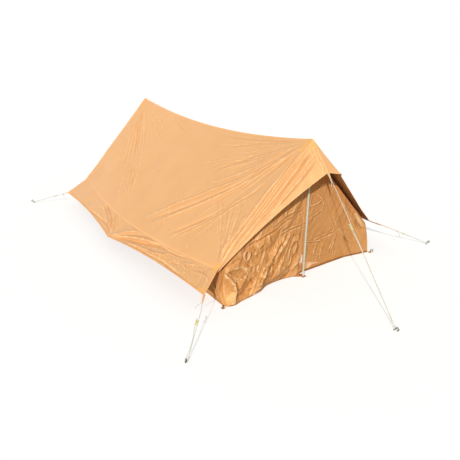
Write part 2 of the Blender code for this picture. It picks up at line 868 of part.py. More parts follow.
def guy(name, corner, tab_name):
    """One guy: webbing tab, cord with its loop round the peg, runner and peg.

    corner is the upper point of the cloth that the guy pulls on.
    """
    out, ahead = PEG_PLACE[name]
    end_name, side_name = name.split("_")
    side = SIDES.get(side_name, 1)
    loop = Vector((side * out, ENDS[end_name] * (HALF + ahead), LOOP_HEIGHT))
    start = corner - Vector((0, 0, CLOTH / 2))
    up_line = (start - loop).normalized()
    away = Vector((-up_line.x, -up_line.y, 0)).normalized()
    peg(f"guy_peg_{name}", loop, away, min(math.asin(up_line.z), PEG_LEAN_MOST))
    across = up_line.cross(Vector((0, 0, 1))).normalized()
    tab_start = start - up_line * (CLOTH / 2 + GAP)
    tab_end = tab_start - up_line * TAB_LENGTH
    ribbon(tab_name, [tab_start, tab_end], across * WEBBING_WIDTH, WEBBING, "webbing")
    runner_middle = tab_end - up_line * RUNNER_PLACE[name]
    return_end = runner_middle + up_line * (RUNNER_LENGTH / 2 + CORD_RADIUS)
    cord_start = tab_end - up_line * GAP
    points = loop_round(loop, up_line, across, cord_start, return_end)
    tube(f"guy_line_{name}", points, CORD_RADIUS, "cord")
    runner = add_object(f"guy_tensioner_{name}", line_runner.copy(), "runner_plastic")
    turn = Matrix((up_line, across, up_line.cross(across))).transposed().to_4x4()
    runner.matrix_world = Matrix.Translation(runner_middle) @ turn


def make_guys():
    for end in ENDS:
        for side_name, side in SIDES.items():
            name = f"{end}_{side_name}"
            guy(name, hem_corner(end, side), f"corner_tab_{name}")
        guy(f"{end}_ridge", hood_tip(end), f"ridge_tab_{end}")


def make_floor_pegs():
    for end_name, end in ENDS.items():
        for side_name, side in SIDES.items():
            place = floor_peg_place(end_name, side_name)
            place.z = FLOOR_CLOTH + GAP
            away = Vector((side, end, 0)).normalized()
            peg(f"floor_peg_{end_name}_{side_name}", place, away, 0)


clear_scene()
tent = collection("army_tent")
cutters = collection("cutters")
line_runner = runner_mesh()
make_fly()
for pole_end in ENDS:
    make_pole(pole_end)
make_floor()
make_inner()
make_zip_slider()
for tie_side in TIE_PLACE:
    make_tie(tie_side, *TIE_PLACE[tie_side])
make_guys()
make_floor_pegs()
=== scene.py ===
import json
import math

import bpy
import numpy as np
from mathutils import Matrix, Vector


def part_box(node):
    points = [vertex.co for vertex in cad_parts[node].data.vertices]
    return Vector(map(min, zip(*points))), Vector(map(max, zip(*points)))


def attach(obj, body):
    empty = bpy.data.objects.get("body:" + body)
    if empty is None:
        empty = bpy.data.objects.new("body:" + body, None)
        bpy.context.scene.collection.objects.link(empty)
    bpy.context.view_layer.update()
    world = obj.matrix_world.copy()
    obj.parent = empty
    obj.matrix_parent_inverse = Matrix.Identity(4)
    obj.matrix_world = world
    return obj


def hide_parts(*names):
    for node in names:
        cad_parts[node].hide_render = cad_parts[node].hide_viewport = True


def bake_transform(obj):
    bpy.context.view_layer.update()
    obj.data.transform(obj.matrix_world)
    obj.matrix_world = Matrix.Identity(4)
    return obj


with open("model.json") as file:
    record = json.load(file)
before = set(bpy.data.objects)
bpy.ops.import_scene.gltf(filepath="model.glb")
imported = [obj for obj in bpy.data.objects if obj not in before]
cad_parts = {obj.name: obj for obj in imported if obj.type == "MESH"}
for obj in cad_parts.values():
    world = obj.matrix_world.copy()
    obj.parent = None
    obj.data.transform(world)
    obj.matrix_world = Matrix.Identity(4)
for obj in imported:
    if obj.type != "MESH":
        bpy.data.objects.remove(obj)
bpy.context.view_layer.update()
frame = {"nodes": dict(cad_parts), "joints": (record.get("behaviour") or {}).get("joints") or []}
bpy.ops.object.select_all(action="DESELECT")

# Camera
# A standing person's view of the front left corner, from about 1.6 m up, with a 36 mm lens.
CAMERA_PLACE = (-2.117, -3.349, 1.624)
CAMERA_TURN = [math.radians(angle) for angle in (66.8, 0.0, -34.9)]
CAMERA_LENS = 35.92
bpy.ops.object.camera_add(location=CAMERA_PLACE, rotation=CAMERA_TURN)
camera = bpy.context.object
camera.data.lens = CAMERA_LENS
bpy.context.scene.camera = camera

# Guy lines
# Braided polyester cord, 3.8 mm thick. Each line is tied to a webbing tab, runs down through its
# runner and round its peg, and comes back up through the runner to a stopper knot.
CORD_RADIUS = 0.0019
STRAND = 0.0060  # each strand lies this far to one side of the line's middle
STRAND_CLOSES = 0.090  # the strands come together over this length at the peg and at the runner
RETURN_STEPS = 40
LOOP_STEPS = 8
STRANDS_PART = 0.030  # below the tab, where the line's strand starts to lie to its side
CORD_TAIL = 0.050
RIDGE_TAIL_SHARE = 0.35
# A tail's points: the share of its length, how far down the line they are and how far up
TAIL_POINTS = ((0.35, 0.010, 0.002), (0.7, 0.012, -0.004), (1, 0.014, -0.014))
KNOT_SIZE = 0.0042
KNOT_DROP = 0.006  # from the tab down to the middle of its knot
RETURN_STICKS_OUT = 0.007  # past the runner's end, to the stopper knot
CORD_COLOUR, CORD_SHADE = "#E0E1D4", "#D3D4C6"
BRAID = 0.004  # strands of the braid lie about 1 mm apart, drawn 4 mm apart so that they show


def linear(colour):
    """An sRGB hex colour as linear red, green, blue and alpha."""
    channels = [int(colour[i : i + 2], 16) / 255 for i in (1, 3, 5)]
    return [c / 12.92 if c <= 0.04045 else ((c + 0.055) / 1.055) ** 2.4 for c in channels] + [1.0]


def node(tree, kind, settings=None, links=None):
    """Adds a node. A setting is an input's name or number, or the name of one of its properties."""
    made = tree.nodes.new(kind)
    for key, value in (settings or {}).items():
        if isinstance(key, int) or key in made.inputs:
            made.inputs[key].default_value = value
        else:
            setattr(made, key, value)
    for key, source in (links or {}).items():
        tree.links.new(source, made.inputs[key])
    return made


def new_material(name):
    """An empty material, its node tree and its output node."""
    material = bpy.data.materials.new(name)
    material.use_nodes = True
    material.node_tree.nodes.clear()
    output = node(material.node_tree, "ShaderNodeOutputMaterial")
    return material, material.node_tree, output


def add_piece(piece, name, material, body="root", stands_for=()):
    """Names a finished piece, gives it its material and fixes it to its body."""
    piece.name = piece.data.name = name
    piece.data.materials.clear()
    piece.data.materials.append(material)
    if body:
        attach(piece, body)
    if stands_for:
        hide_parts(*stands_for)
    return piece


def smooth_path(points, per_span=6):
    """A rounded path through the points, with per_span steps from each to the next."""
    points = [Vector(p) for p in points]
    points = [2 * points[0] - points[1], *points, 2 * points[-1] - points[-2]]
    path = []
    for before, a, b, after in zip(points, points[1:], points[2:], points[3:]):
        for i in range(per_span):
            t = i / per_span
            path.append(
                0.5 * ((2 * a) + (b - before) * t + (2 * before - 5 * a + 4 * b - after) * t * t
                       + (3 * a - before - 3 * b + after) * t**3)
            )
    return path + [points[-2]]


def select_only(piece):
    bpy.ops.object.select_all(action="DESELECT")
    piece.select_set(True)
    bpy.context.view_layer.objects.active = piece


def smooth(piece, degrees):
    """Shades the piece smooth, apart from edges sharper than this angle."""
    select_only(piece)
    bpy.ops.object.shade_smooth_by_angle(angle=math.radians(degrees))
    bpy.ops.object.select_all(action="DESELECT")


def tube(points, radius, closed=False, resolution=3):
    """A round cord or wire along the points, as a mesh."""
    curve = bpy.data.curves.new("tube", "CURVE")
    curve.dimensions = "3D"
    curve.bevel_depth = radius
    curve.bevel_resolution = resolution
    curve.use_fill_caps = True
    spline = curve.splines.new("POLY")
    spline.points.add(len(points) - 1)
    for slot, point in zip(spline.points, points):
        slot.co = (*point, 1.0)
    spline.use_cyclic_u = closed
    made = bpy.data.objects.new("tube", curve)
    bpy.context.collection.objects.link(made)
    select_only(made)
    bpy.ops.object.convert(target="MESH")
    bpy.ops.object.mode_set(mode="EDIT")
    bpy.ops.mesh.select_all(action="SELECT")
    bpy.ops.mesh.remove_doubles(threshold=radius / 100)
    bpy.ops.mesh.normals_make_consistent(inside=False)
    bpy.ops.object.mode_set(mode="OBJECT")
    smooth(made, 50)
    return made


def extent(name, axis):
    """Where a node of the frame starts and ends along an axis."""
    reach = [vert.co.dot(axis) for vert in frame["nodes"][name].data.vertices]
    return min(reach), max(reach)


# Braided polyester: a dull off-white with faint darker strands across it
braided_cord, tree, output = new_material("braided_polyester_cord")
place = node(tree, "ShaderNodeTexCoord")
strands = node(tree, "ShaderNodeTexVoronoi", {"Scale": 1 / BRAID}, {"Vector": place.outputs["Object"]})
shade = node(
    tree, "ShaderNodeMix", {"data_type": "RGBA", 6: linear(CORD_COLOUR), 7: linear(CORD_SHADE)},
    {0: strands.outputs["Distance"]},
)
bump_of = node(
    tree, "ShaderNodeBump", {"Strength": 0.4, "Distance": 0.0006}, {"Height": strands.outputs["Distance"]}
)
shader = node(
    tree, "ShaderNodeBsdfPrincipled", {"Roughness": 0.8, "Sheen Weight": 0.2},
    {"Base Color": shade.outputs[2], "Normal": bump_of.outputs["Normal"]},
)
tree.links.new(shader.outputs["BSDF"], output.inputs["Surface"])

guys = {}
for joint in frame["joints"]:
    if not joint["name"].startswith("tensioner_"):
        continue
    name = joint["name"].removeprefix("tensioner_").removesuffix("_slide")
    up = Vector(joint["axis"]).normalized()
    across = up.cross(Vector((0, 0, 1))).normalized()
    facing = up.cross(across)
    middle = sum(
        (axis * sum(extent(f"guy_tensioner_{name}", axis)) / 2 for axis in (up, across, facing)),
        Vector(),
    )
    low, high = extent(f"guy_line_{name}", up)
    along = middle.dot(up)
    loop = middle + up * (low + CORD_RADIUS + STRAND - along)
    top = middle + up * (high - along)
    runner_low, runner_high = extent(f"guy_tensioner_{name}", up)
    guys[name] = {
        "up": up, "across": across, "facing": facing, "middle": middle, "loop": loop, "top": top,
        "runner_half": (runner_high - runner_low) / 2,
    }

for name, guy in guys.items():
    up, across, loop = guy["up"], guy["across"], guy["loop"]
    run = (guy["top"] - loop).length
    down = [guy["top"] - up * CORD_RADIUS, guy["top"] - up * STRANDS_PART + across * STRAND * 0.6]
    down += [loop + up * run * share + across * STRAND for share in (0.85, 0.6, 0.4, 0.2, 0.05)]
    down.append(loop + across * STRAND)
    for i in range(1, LOOP_STEPS):
        angle = math.pi * i / LOOP_STEPS
        down.append(loop + across * STRAND * math.cos(angle) - up * STRAND * math.sin(angle))
    path = smooth_path(down, 3)
    cord = add_piece(
        tube(path, CORD_RADIUS), f"guy_cord_{name}", braided_cord, "root", [f"guy_line_{name}"]
    )

    # The return strand stretches between the peg and the runner, which slides on it, and lies
    # against the other strand between them
    end = guy["middle"] + up * (guy["runner_half"] + RETURN_STICKS_OUT) - across * STRAND
    start = loop - across * STRAND
    run = (end - start).length
    free_run = run - RETURN_STICKS_OUT - 2 * guy["runner_half"]
    beside = 2 * (STRAND - 1.1 * CORD_RADIUS)
    strand = []
    for i in range(RETURN_STEPS + 1):
        along = run * i / RETURN_STEPS
        near_end = min(along, max(free_run - along, 0)) / STRAND_CLOSES
        closing = 0.5 - 0.5 * math.cos(math.pi * min(near_end, 1))
        strand.append(start + up * along + across * beside * closing)
    returning = add_piece(tube(strand, CORD_RADIUS), f"guy_return_{name}", braided_cord, None)
    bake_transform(returning)

    # Stopper knot on the runner's upper end, and the knot that ties the line to its tab
    for knot_name, centre, body in (
        ("stopper_knot", end, f"tensioner_{name}"), ("tab_knot", guy["top"] - up * KNOT_DROP, "root")
    ):
        turns = [
            centre
            + across * KNOT_SIZE * (math.sin(a) + 2 * math.sin(2 * a)) / 3
            + up * KNOT_SIZE * (math.cos(a) - 2 * math.cos(2 * a)) / 3
            - guy["facing"] * KNOT_SIZE * math.sin(3 * a) / 2
            for a in np.linspace(0, 2 * math.pi, 36, endpoint=False)
        ]
        add_piece(
                tube(turns, CORD_RADIUS, closed=True, resolution=2),
                f"{knot_name}_{name}", braided_cord, body,
            )
    is_ridge = "ridge" in name
    aside = Vector((0, 0, -1)) if is_ridge else Vector((-across.x, -across.y, -0.5)).normalized()
    tail_length = CORD_TAIL * (RIDGE_TAIL_SHARE if is_ridge else 1)
    tail = [guy["top"] - up * KNOT_DROP]
    for share, down_line, rise in TAIL_POINTS:
        tail.append(
            guy["top"] - up * down_line + aside * tail_length * share + Vector((0, 0, rise))
        )
    tail_cord = tube(smooth_path(tail, 5), CORD_RADIUS)
    add_piece(tail_cord, f"cord_tail_{name}", braided_cord, "root")

# Line runners
# Injection-moulded polythene, pale yellow, with a drilled lug at each end and a thin web between.
# Friction on the bent cord holds them where they are pushed.
RUNNER_THICKNESS = 0.008
RUNNER_WEB = 0.0035
RUNNER_LUG = 0.006
RUNNER_WIDTH = 0.021
RUNNER_ROUNDING = 0.0015
HOLE_CLEARANCE = 0.0005
RUNNER_COLOUR, RUNNER_SHADE = "#E9E38C", "#D8D27A"

# Moulded polythene: waxy, slightly see-through, with a fine mould texture
polythene, tree, output = new_material("moulded_polythene")
place = node(tree, "ShaderNodeTexCoord")
grain = node(tree, "ShaderNodeTexNoise", {"Scale": 900, "Detail": 3}, {"Vector": place.outputs["Object"]})
bump_of = node(
    tree, "ShaderNodeBump", {"Strength": 0.15, "Distance": 0.0002}, {"Height": grain.outputs["Fac"]}
)
tint = node(
    tree, "ShaderNodeMix", {"data_type": "RGBA", 6: linear(RUNNER_COLOUR), 7: linear(RUNNER_SHADE)},
    {0: grain.outputs["Fac"]},
)
shader = node(
    tree, "ShaderNodeBsdfPrincipled",
    {"Roughness": 0.42, "IOR": 1.5, "Subsurface Weight": 0.15, "Subsurface Scale": 0.002},
    {"Base Color": tint.outputs[2], "Normal": bump_of.outputs["Normal"]},
)
tree.links.new(shader.outputs["BSDF"], output.inputs["Surface"])


def apply_modifier(piece, kind, **settings):
    """Adds one modifier to the piece and applies it."""
    select_only(piece)
    modifier = piece.modifiers.new(kind.lower(), kind)
    for key, value in settings.items():
        setattr(modifier, key, value)
    bpy.ops.object.modifier_apply(modifier=modifier.name)
    piece.select_set(False)


def cut(piece, cutter):
    """Cuts a cutter out of the piece and removes it."""
    apply_modifier(piece, "BOOLEAN", operation="DIFFERENCE", object=cutter)
    bpy.data.objects.remove(cutter, do_unlink=True)


runner_length = 2 * guys["front_left"]["runner_half"]
bpy.ops.mesh.primitive_cube_add(size=1)
runner = bpy.context.object
runner.scale = (runner_length, RUNNER_WIDTH, RUNNER_THICKNESS)
bpy.ops.object.transform_apply(scale=True)
apply_modifier(runner, "BEVEL", width=RUNNER_THICKNESS / 3, segments=4)
notch = RUNNER_WIDTH / 2
for side in (-1, 1):
    bpy.ops.mesh.primitive_cube_add(size=1, location=(0, side * (RUNNER_WEB + notch) / 2, 0))
    bpy.context.object.scale = (runner_length - 2 * RUNNER_LUG, notch, 2 * RUNNER_THICKNESS)
    bpy.ops.object.transform_apply(location=False, scale=True)
    apply_modifier(bpy.context.object, "BEVEL", width=RUNNER_ROUNDING, segments=3)
    cut(runner, bpy.context.object)
    bpy.ops.mesh.primitive_cylinder_add(
        vertices=24, radius=CORD_RADIUS + HOLE_CLEARANCE, depth=2 * runner_length,
        location=(0, side * STRAND, 0), rotation=(0, math.pi / 2, 0),
    )
    cut(runner, bpy.context.object)
for name, guy in guys.items():
    copy = bpy.data.objects.new("runner", runner.data.copy())
    bpy.context.collection.objects.link(copy)
    turn = Matrix((guy["up"], guy["across"], guy["facing"])).transposed().to_4x4()
    copy.data.transform(Matrix.Translation(guy["middle"]) @ turn)
    smooth(copy, 35)
    add_piece(
        copy, f"line_runner_{name}", polythene, f"tensioner_{name}",
        [f"guy_tensioner_{name}"],
    )
bpy.data.objects.remove(runner, do_unlink=True)

# Pegs
# Galvanised 7 mm steel wire, bent to a hook and driven in at a slant until the hook is close to
# the ground. The zinc has gone dull and dark where it has been in the soil.
PEG_RADIUS = 0.0035
PEG_LENGTH = 0.170
PEG_NECK = 0.016
PEG_HOOK_RADIUS = 0.008
PEG_LEAN_MOST = math.radians(35)
PEG_HOOK_STEPS = 14
ZINC, ZINC_DULL, SOIL = "#A4A69D", "#83867D", "#5A5344"

# Galvanised steel: a grey metal in two dull tones, brown with soil from the ground down
galvanised, tree, output = new_material("galvanised_steel_wire")
place = node(tree, "ShaderNodeTexCoord")
spangle = node(tree, "ShaderNodeTexVoronoi", {"Scale": 350}, {"Vector": place.outputs["Object"]})
tone = node(
    tree, "ShaderNodeMix", {"data_type": "RGBA", 6: linear(ZINC), 7: linear(ZINC_DULL)},
    {0: spangle.outputs["Color"]},
)
height = node(tree, "ShaderNodeSeparateXYZ", {}, {0: place.outputs["Object"]})
soiled = node(tree, "ShaderNodeMapRange", {"From Min": 0.004, "From Max": -0.004}, {0: height.outputs["Z"]})
tone_low = node(
    tree, "ShaderNodeMix", {"data_type": "RGBA", 7: linear(SOIL)},
    {0: soiled.outputs["Result"], 6: tone.outputs[2]},
)
metal = node(
    tree, "ShaderNodeMapRange", {"To Min": 0.85, "To Max": 0.1}, {0: soiled.outputs["Result"]}
)
shader = node(
    tree, "ShaderNodeBsdfPrincipled", {"Roughness": 0.45},
    {"Base Color": tone_low.outputs[2], "Metallic": metal.outputs["Result"]},
)
tree.links.new(shader.outputs["BSDF"], output.inputs["Surface"])


def peg(name, held, away, lean):
    """A wire peg whose hook holds down what lies at the point held. away points off the tent."""
    axis = (away * math.sin(lean) + Vector((0, 0, math.cos(lean)))).normalized()
    back = (away * math.cos(lean) - Vector((0, 0, math.sin(lean)))).normalized()
    centre = held + axis * PEG_NECK + back * PEG_HOOK_RADIUS
    points = [held - axis * PEG_LENGTH, held - axis * PEG_LENGTH / 2, held, held + axis * PEG_NECK]
    for i in range(1, PEG_HOOK_STEPS + 1):
        angle = math.pi * i / PEG_HOOK_STEPS
        points.append(
            centre + (axis * math.sin(angle) - back * math.cos(angle)) * PEG_HOOK_RADIUS
        )
    points.append(points[-1] - axis * PEG_NECK * 0.7)
    add_piece(tube(points, PEG_RADIUS), f"{name}_wire", galvanised, "root", [name])


for name, guy in guys.items():
    away = Vector((-guy["up"].x, -guy["up"].y, 0)).normalized()
    peg(f"guy_peg_{name}", guy["loop"], away, min(math.asin(guy["up"].z), PEG_LEAN_MOST))

# Flysheet
# Thin tan nylon, proofed on the inside so that it is shiny, cut as two roof slopes, two skirts and
# two hoods. The poles and guys stretch it, and its folds run out from the points that are pulled.
POLE_HEIGHT = 1.000
RIDGE_SAG = 0.095
EAVE_HALF_WIDTH, EAVE_HEIGHT, EAVE_SETBACK = 0.720, 0.256, 0.030
EAVE_BULGE, EAVE_DROP = 0.104, 0.047
ROOF_HOLLOW = 0.014
HEM_MID = (0.988, 0.0, 0.111)
HEM_BOW = 0.028
HEM_CORNER = {-1: (0.887, 0.072, 0.180), 1: (0.920, 0.042, 0.120)}
HOOD_REACH, HOOD_DROP, HOOD_BOW, HOOD_SPAN = 0.156, 0.188, 0.024, 0.985
HOOD_LIFT, HOOD_LIFT_END, CREST_PLACE = 0.058, 0.80, 0.085
HOOD_LIFT_TOWARDS = np.array([0.57, 0.63, 0.53])
HOOD_PUFF = np.array([0.025, 0.052, 0.027])  # how far the right half's crest is pushed out
HOOD_LAP = {-1: 0.17, 1: 0.03}  # how far down the skirt's end each half of a hood is sewn
FLY_THICKNESS = 0.0007
SEWN_EDGE = 0.012  # the roof's folds fade out over this length at its ends
SHARPEST_BEND = 55.0  # per metre, at which a crest gets its palest painted highlight
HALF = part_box("fly_roof_left")[1].y
SLOPE = math.hypot(EAVE_HALF_WIDTH, POLE_HEIGHT - EAVE_HEIGHT)
SKIRT_WIDTH = 0.19
SIDES = {"left": -1, "right": 1}
ENDS = {"front": -1, "rear": 1}
FLY_COLOUR, FLY_SHADE = "#EEB881", "#E9B27A"
# Painted highlight on the crests of the fly's folds, and painted shade in their valleys
FLY_CREST_HIGHLIGHT, FLY_VALLEY_SHADE = "#FFD3A0", "#DFA267"
SEAM_COLOUR, SEAM_SHADE = "#F6BF86", "#F0B67B"
HEM_COLOUR, HEM_SHADE = "#EFB06C", "#E8A461"
PATCH_COLOUR, PATCH_SHADE = "#F5BD78", "#F0B46C"
THREAD = 0.0016  # the weave's threads lie 0.2 mm apart, drawn 1.6 mm apart so that they show
WAVE_PERIOD = 2 * math.pi / 20  # of a wave texture at scale 1


def coated_nylon(name, colour, shade_colour, crest_highlight_colour, valley_shade_colour, roughness, crinkle):
    """Nylon taffeta: a soft shine, a fine weave and small creases left by packing.

    The colour drifts a little between two tones. A painted highlight lies here and there on the crests
    of the folds, and a painted shade lies in their valleys. The pattern follows the cloth's own map, and
    the crests and valleys come from its crease attribute.
    """
    material, tree, output = new_material(name)
    place = node(tree, "ShaderNodeTexCoord")
    drift = node(
        tree, "ShaderNodeTexNoise", {"Scale": 3.5, "Detail": 4, "Roughness": 0.6},
        {"Vector": place.outputs["UV"]},
    )
    drift_ramp = node(
        tree, "ShaderNodeMapRange", {"From Min": 0.3, "From Max": 0.7}, {0: drift.outputs["Fac"]}
    )
    tone = node(
        tree, "ShaderNodeMix", {"data_type": "RGBA", 6: linear(colour), 7: linear(shade_colour)},
        {0: drift_ramp.outputs["Result"]},
    )
    crease = node(tree, "ShaderNodeAttribute", {"attribute_name": "crease"})
    along = node(tree, "ShaderNodeTexNoise", {"Scale": 24, "Detail": 2}, {"Vector": place.outputs["UV"]})
    patchy = node(
        tree, "ShaderNodeMapRange", {"From Min": 0.38, "From Max": 0.62}, {0: along.outputs["Fac"]}
    )
    # Painted highlight on the crests of the folds, patchy along them, and painted shade in their valleys
    sharp = node(tree, "ShaderNodeMapRange", {"From Min": 0.12}, {0: crease.outputs["Fac"]})
    crest_highlight = node(
        tree, "ShaderNodeMath", {"operation": "MULTIPLY"},
        {0: sharp.outputs["Result"], 1: patchy.outputs["Result"]},
    )
    valley_shade = node(
        tree, "ShaderNodeMapRange", {"From Min": -0.08, "From Max": -1.0}, {0: crease.outputs["Fac"]}
    )
    with_highlight = node(
        tree, "ShaderNodeMix", {"data_type": "RGBA", 7: linear(crest_highlight_colour)},
        {0: crest_highlight.outputs[0], 6: tone.outputs[2]},
    )
    with_valley_shade = node(
        tree, "ShaderNodeMix", {"data_type": "RGBA", 7: linear(valley_shade_colour)},
        {0: valley_shade.outputs["Result"], 6: with_highlight.outputs[2]},
    )
    warp, weft = [
        node(
            tree, "ShaderNodeTexWave", {"bands_direction": axis, "Scale": WAVE_PERIOD / THREAD},
            {"Vector": place.outputs["UV"]},
        )
        for axis in "XY"
    ]
    weave = node(
        tree, "ShaderNodeMath", {"operation": "MULTIPLY"},
        {0: warp.outputs["Fac"], 1: weft.outputs["Fac"]},
    )
    fine = node(
        tree, "ShaderNodeTexNoise", {"Scale": 60, "Detail": 5, "Roughness": 0.65},
        {"Vector": place.outputs["UV"]},
    )
    weave_bump = node(
        tree, "ShaderNodeBump", {"Strength": 0.12, "Distance": 0.0002},
        {"Height": weave.outputs["Value"]},
    )
    crinkle_bump = node(
        tree, "ShaderNodeBump", {"Strength": crinkle, "Distance": 0.002},
        {"Height": fine.outputs["Fac"], "Normal": weave_bump.outputs["Normal"]},
    )
    gloss = node(
        tree, "ShaderNodeMapRange", {"To Min": roughness - 0.06, "To Max": roughness + 0.08},
        {0: fine.outputs["Fac"]},
    )
    shader = node(
        tree, "ShaderNodeBsdfPrincipled",
        {"IOR": 1.5, "Specular IOR Level": 0.4, "Specular Tint": linear("#FFDDA8")},
        {
            "Base Color": with_valley_shade.outputs[2],
            "Roughness": gloss.outputs["Result"],
            "Normal": crinkle_bump.outputs["Normal"],
        },
    )
    tree.links.new(shader.outputs["BSDF"], output.inputs["Surface"])
    return material


# The last two colours of each nylon are its painted crest highlight and painted valley shade
fly_nylon = coated_nylon("proofed_nylon_fly", FLY_COLOUR, FLY_SHADE, FLY_CREST_HIGHLIGHT, FLY_VALLEY_SHADE, 0.36, 0.25)
seam_nylon = coated_nylon(
    "doubled_nylon_seam", SEAM_COLOUR, SEAM_SHADE, FLY_CREST_HIGHLIGHT, FLY_VALLEY_SHADE, 0.42, 0.35
)
hem_nylon = coated_nylon("doubled_nylon_hem", HEM_COLOUR, HEM_SHADE, FLY_CREST_HIGHLIGHT, "#DE9750", 0.42, 0.35)
patch_nylon = coated_nylon(
    "proofed_nylon_patch", PATCH_COLOUR, PATCH_SHADE, "#FFD591", "#E7A45E", 0.42, 0.25
)


def lerp(a, b, t):
    return a + (b - a) * t


def bump(t):
    """0 at both ends of the range, 1 halfway."""
    return 4 * t * (1 - t)


def fade(value, over):
    """Grows from 0 to 1 while the value grows from 0 to this much."""
    return np.clip(value / over, 0, 1)


def ridge_line(s):
    """The ridge seam, from the front peak (s = 0) to the rear one (s = 1)."""
    return np.stack([0 * s, lerp(-HALF, HALF, s), POLE_HEIGHT - RIDGE_SAG * bump(s)], -1)


def eave_line(side, s):
    return np.stack(
        [
            side * (EAVE_HALF_WIDTH + EAVE_BULGE * bump(s)),
            lerp(-HALF + EAVE_SETBACK, HALF - EAVE_SETBACK, s),
            EAVE_HEIGHT - EAVE_DROP * bump(s),
        ],
        -1,
    )


def hem_line(side, s):
    """The skirt's bottom edge: two drawn-in stretches that meet in a point at mid length."""
    middle = np.array([side * HEM_MID[0], HEM_MID[1], HEM_MID[2]])
    corners = [
        np.array([side * out, end * (HALF + ahead), height])
        for end, (out, ahead, height) in HEM_CORNER.items()
    ]
    t = np.where(s < 0.5, 2 * s, 2 * s - 1)
    near_front = (s < 0.5)[..., None]
    chord = np.where(
        near_front,
        lerp(corners[0], middle, t[..., None]),
        lerp(middle, corners[1], t[..., None]),
    )
    inward = eave_line(side, s) - chord
    inward /= np.linalg.norm(inward, axis=-1, keepdims=True)
    return chord + inward * (HEM_BOW * bump(t))[..., None]


def fold_height(place, folds):
    """Height of the folds at flat places on the cloth. A fold is its path, half width and height."""
    height = np.zeros(place.shape[:-1])
    for path, width, rise in folds:
        path = np.asarray(path, float)
        near = np.all((place > path.min(0) - 4 * width) & (place < path.max(0) + 4 * width), axis=-1)
        spots = place[near]
        steps = np.diff(path, axis=0)
        lengths = np.linalg.norm(steps, axis=1)
        starts = np.concatenate(([0.0], np.cumsum(lengths)))
        gap = np.full(len(spots), 1e9)
        along = np.zeros(len(spots))
        for i, length in enumerate(lengths):
            offset = spots - path[i]
            t = np.clip(offset @ steps[i] / length, 0, length)
            distance = np.linalg.norm(offset - t[:, None] * steps[i] / length, axis=-1)
            nearer = distance < gap
            gap = np.where(nearer, distance, gap)
            along = np.where(nearer, starts[i] + t, along)
        share = along / starts[-1]
        ends = np.clip(8 * share, 0, 1) * np.clip(5 * (1 - share), 0, 1)
        height[near] += rise * np.exp(-((gap / width) ** 1.5)) * ends
    return height


def fan(apex, towards, spread, count, near, far, width, rise, seed):
    """Folds that run out from a pulled point, towards an angle in degrees, spread to each side."""
    random = np.random.default_rng(seed)
    folds = []
    for turn in np.linspace(-spread, spread, count):
        angle = math.radians(towards + turn + random.normal(0, 0.7 * spread / count))
        along = np.array([math.cos(angle), math.sin(angle)])
        aside = np.array([-along[1], along[0]])
        start, end = near * random.uniform(0.5, 1.6), far * random.uniform(0.55, 1.05)
        bends = [(start, 0), (lerp(start, end, 0.35), 0.012), (lerp(start, end, 0.7), 0.018), (end, 0.01)]
        path = [np.array(apex) + along * r + aside * random.normal(0, 1) * bend for r, bend in bends]
        folds.append((path, width * random.uniform(0.6, 1.5), rise * random.uniform(-0.7, 1.0)))
    return folds


def scatter(count, low, high, towards, length, width, rise, seed):
    """Short creases strewn over a patch of cloth, roughly along one direction in degrees."""
    random = np.random.default_rng(seed)
    folds = []
    for _ in range(count):
        start = random.uniform(low, high)
        angle = math.radians(towards + random.normal(0, 22))
        reach = length * random.uniform(0.4, 1.4)
        along = np.array([math.cos(angle), math.sin(angle)]) * reach
        bend = np.array([-along[1], along[0]]) * random.normal(0, 0.12)
        path = [start, start + along / 2 + bend, start + along]
        folds.append((path, width * random.uniform(0.6, 1.4), rise * random.uniform(-0.6, 1.0)))
    return folds


def ripple(place, wavelength, seed):
    """Soft waves in all directions, about -1 to 1."""
    random = np.random.default_rng(seed)
    total = 0
    for _ in range(7):
        angle, phase = random.uniform(0, 2 * math.pi, 2)
        pitch = 2 * math.pi / (wavelength * random.uniform(0.7, 1.5))
        total = total + np.sin(
            pitch * (place[..., 0] * math.cos(angle) + place[..., 1] * math.sin(angle)) + phase
        )
    return total / 3.5


def facets(place, wavelength, towards, seed):
    """Flat facets between sharp creases that run roughly towards an angle in degrees."""
    random = np.random.default_rng(seed)
    bent = place + 0.14 * wavelength * np.stack(
        [ripple(place, wavelength, seed + 1), ripple(place, wavelength, seed + 2)], -1
    )
    total = 0
    for _ in range(6):
        angle = math.radians(towards + 90 + random.normal(0, 20))
        pitch = 2 * math.pi / (wavelength * random.uniform(0.6, 1.7))
        wave = np.sin(
            pitch * (bent[..., 0] * math.cos(angle) + bent[..., 1] * math.sin(angle))
            + random.uniform(0, 2 * math.pi)
        )
        total = total + np.arcsin(wave) * 2 / math.pi
    return total / 3


def crease_values(points, normals, columns, rows):
    """How sharply the cloth bends at each point, from -1 in a valley to 1 on a crest."""
    grid = points.reshape(rows + 1, columns + 1, 3)
    bend = np.zeros((rows + 1, columns + 1, 3))
    for axis in (0, 1):
        before, here, after = (
            np.take(grid, range(i, grid.shape[axis] - 2 + i), axis) for i in range(3)
        )
        step = np.linalg.norm(after - before, axis=-1, keepdims=True) / 2
        inner = (slice(1, -1), slice(None)) if axis == 0 else (slice(None), slice(1, -1))
        bend[inner] -= (after + before - 2 * here) / step**2
    outward_bend = (bend.reshape(-1, 3) * normals).sum(-1)
    return np.clip(outward_bend / SHARPEST_BEND, -1, 1)


WHOLE = ((0, 1), (0, 1))  # the spans of a whole sheet


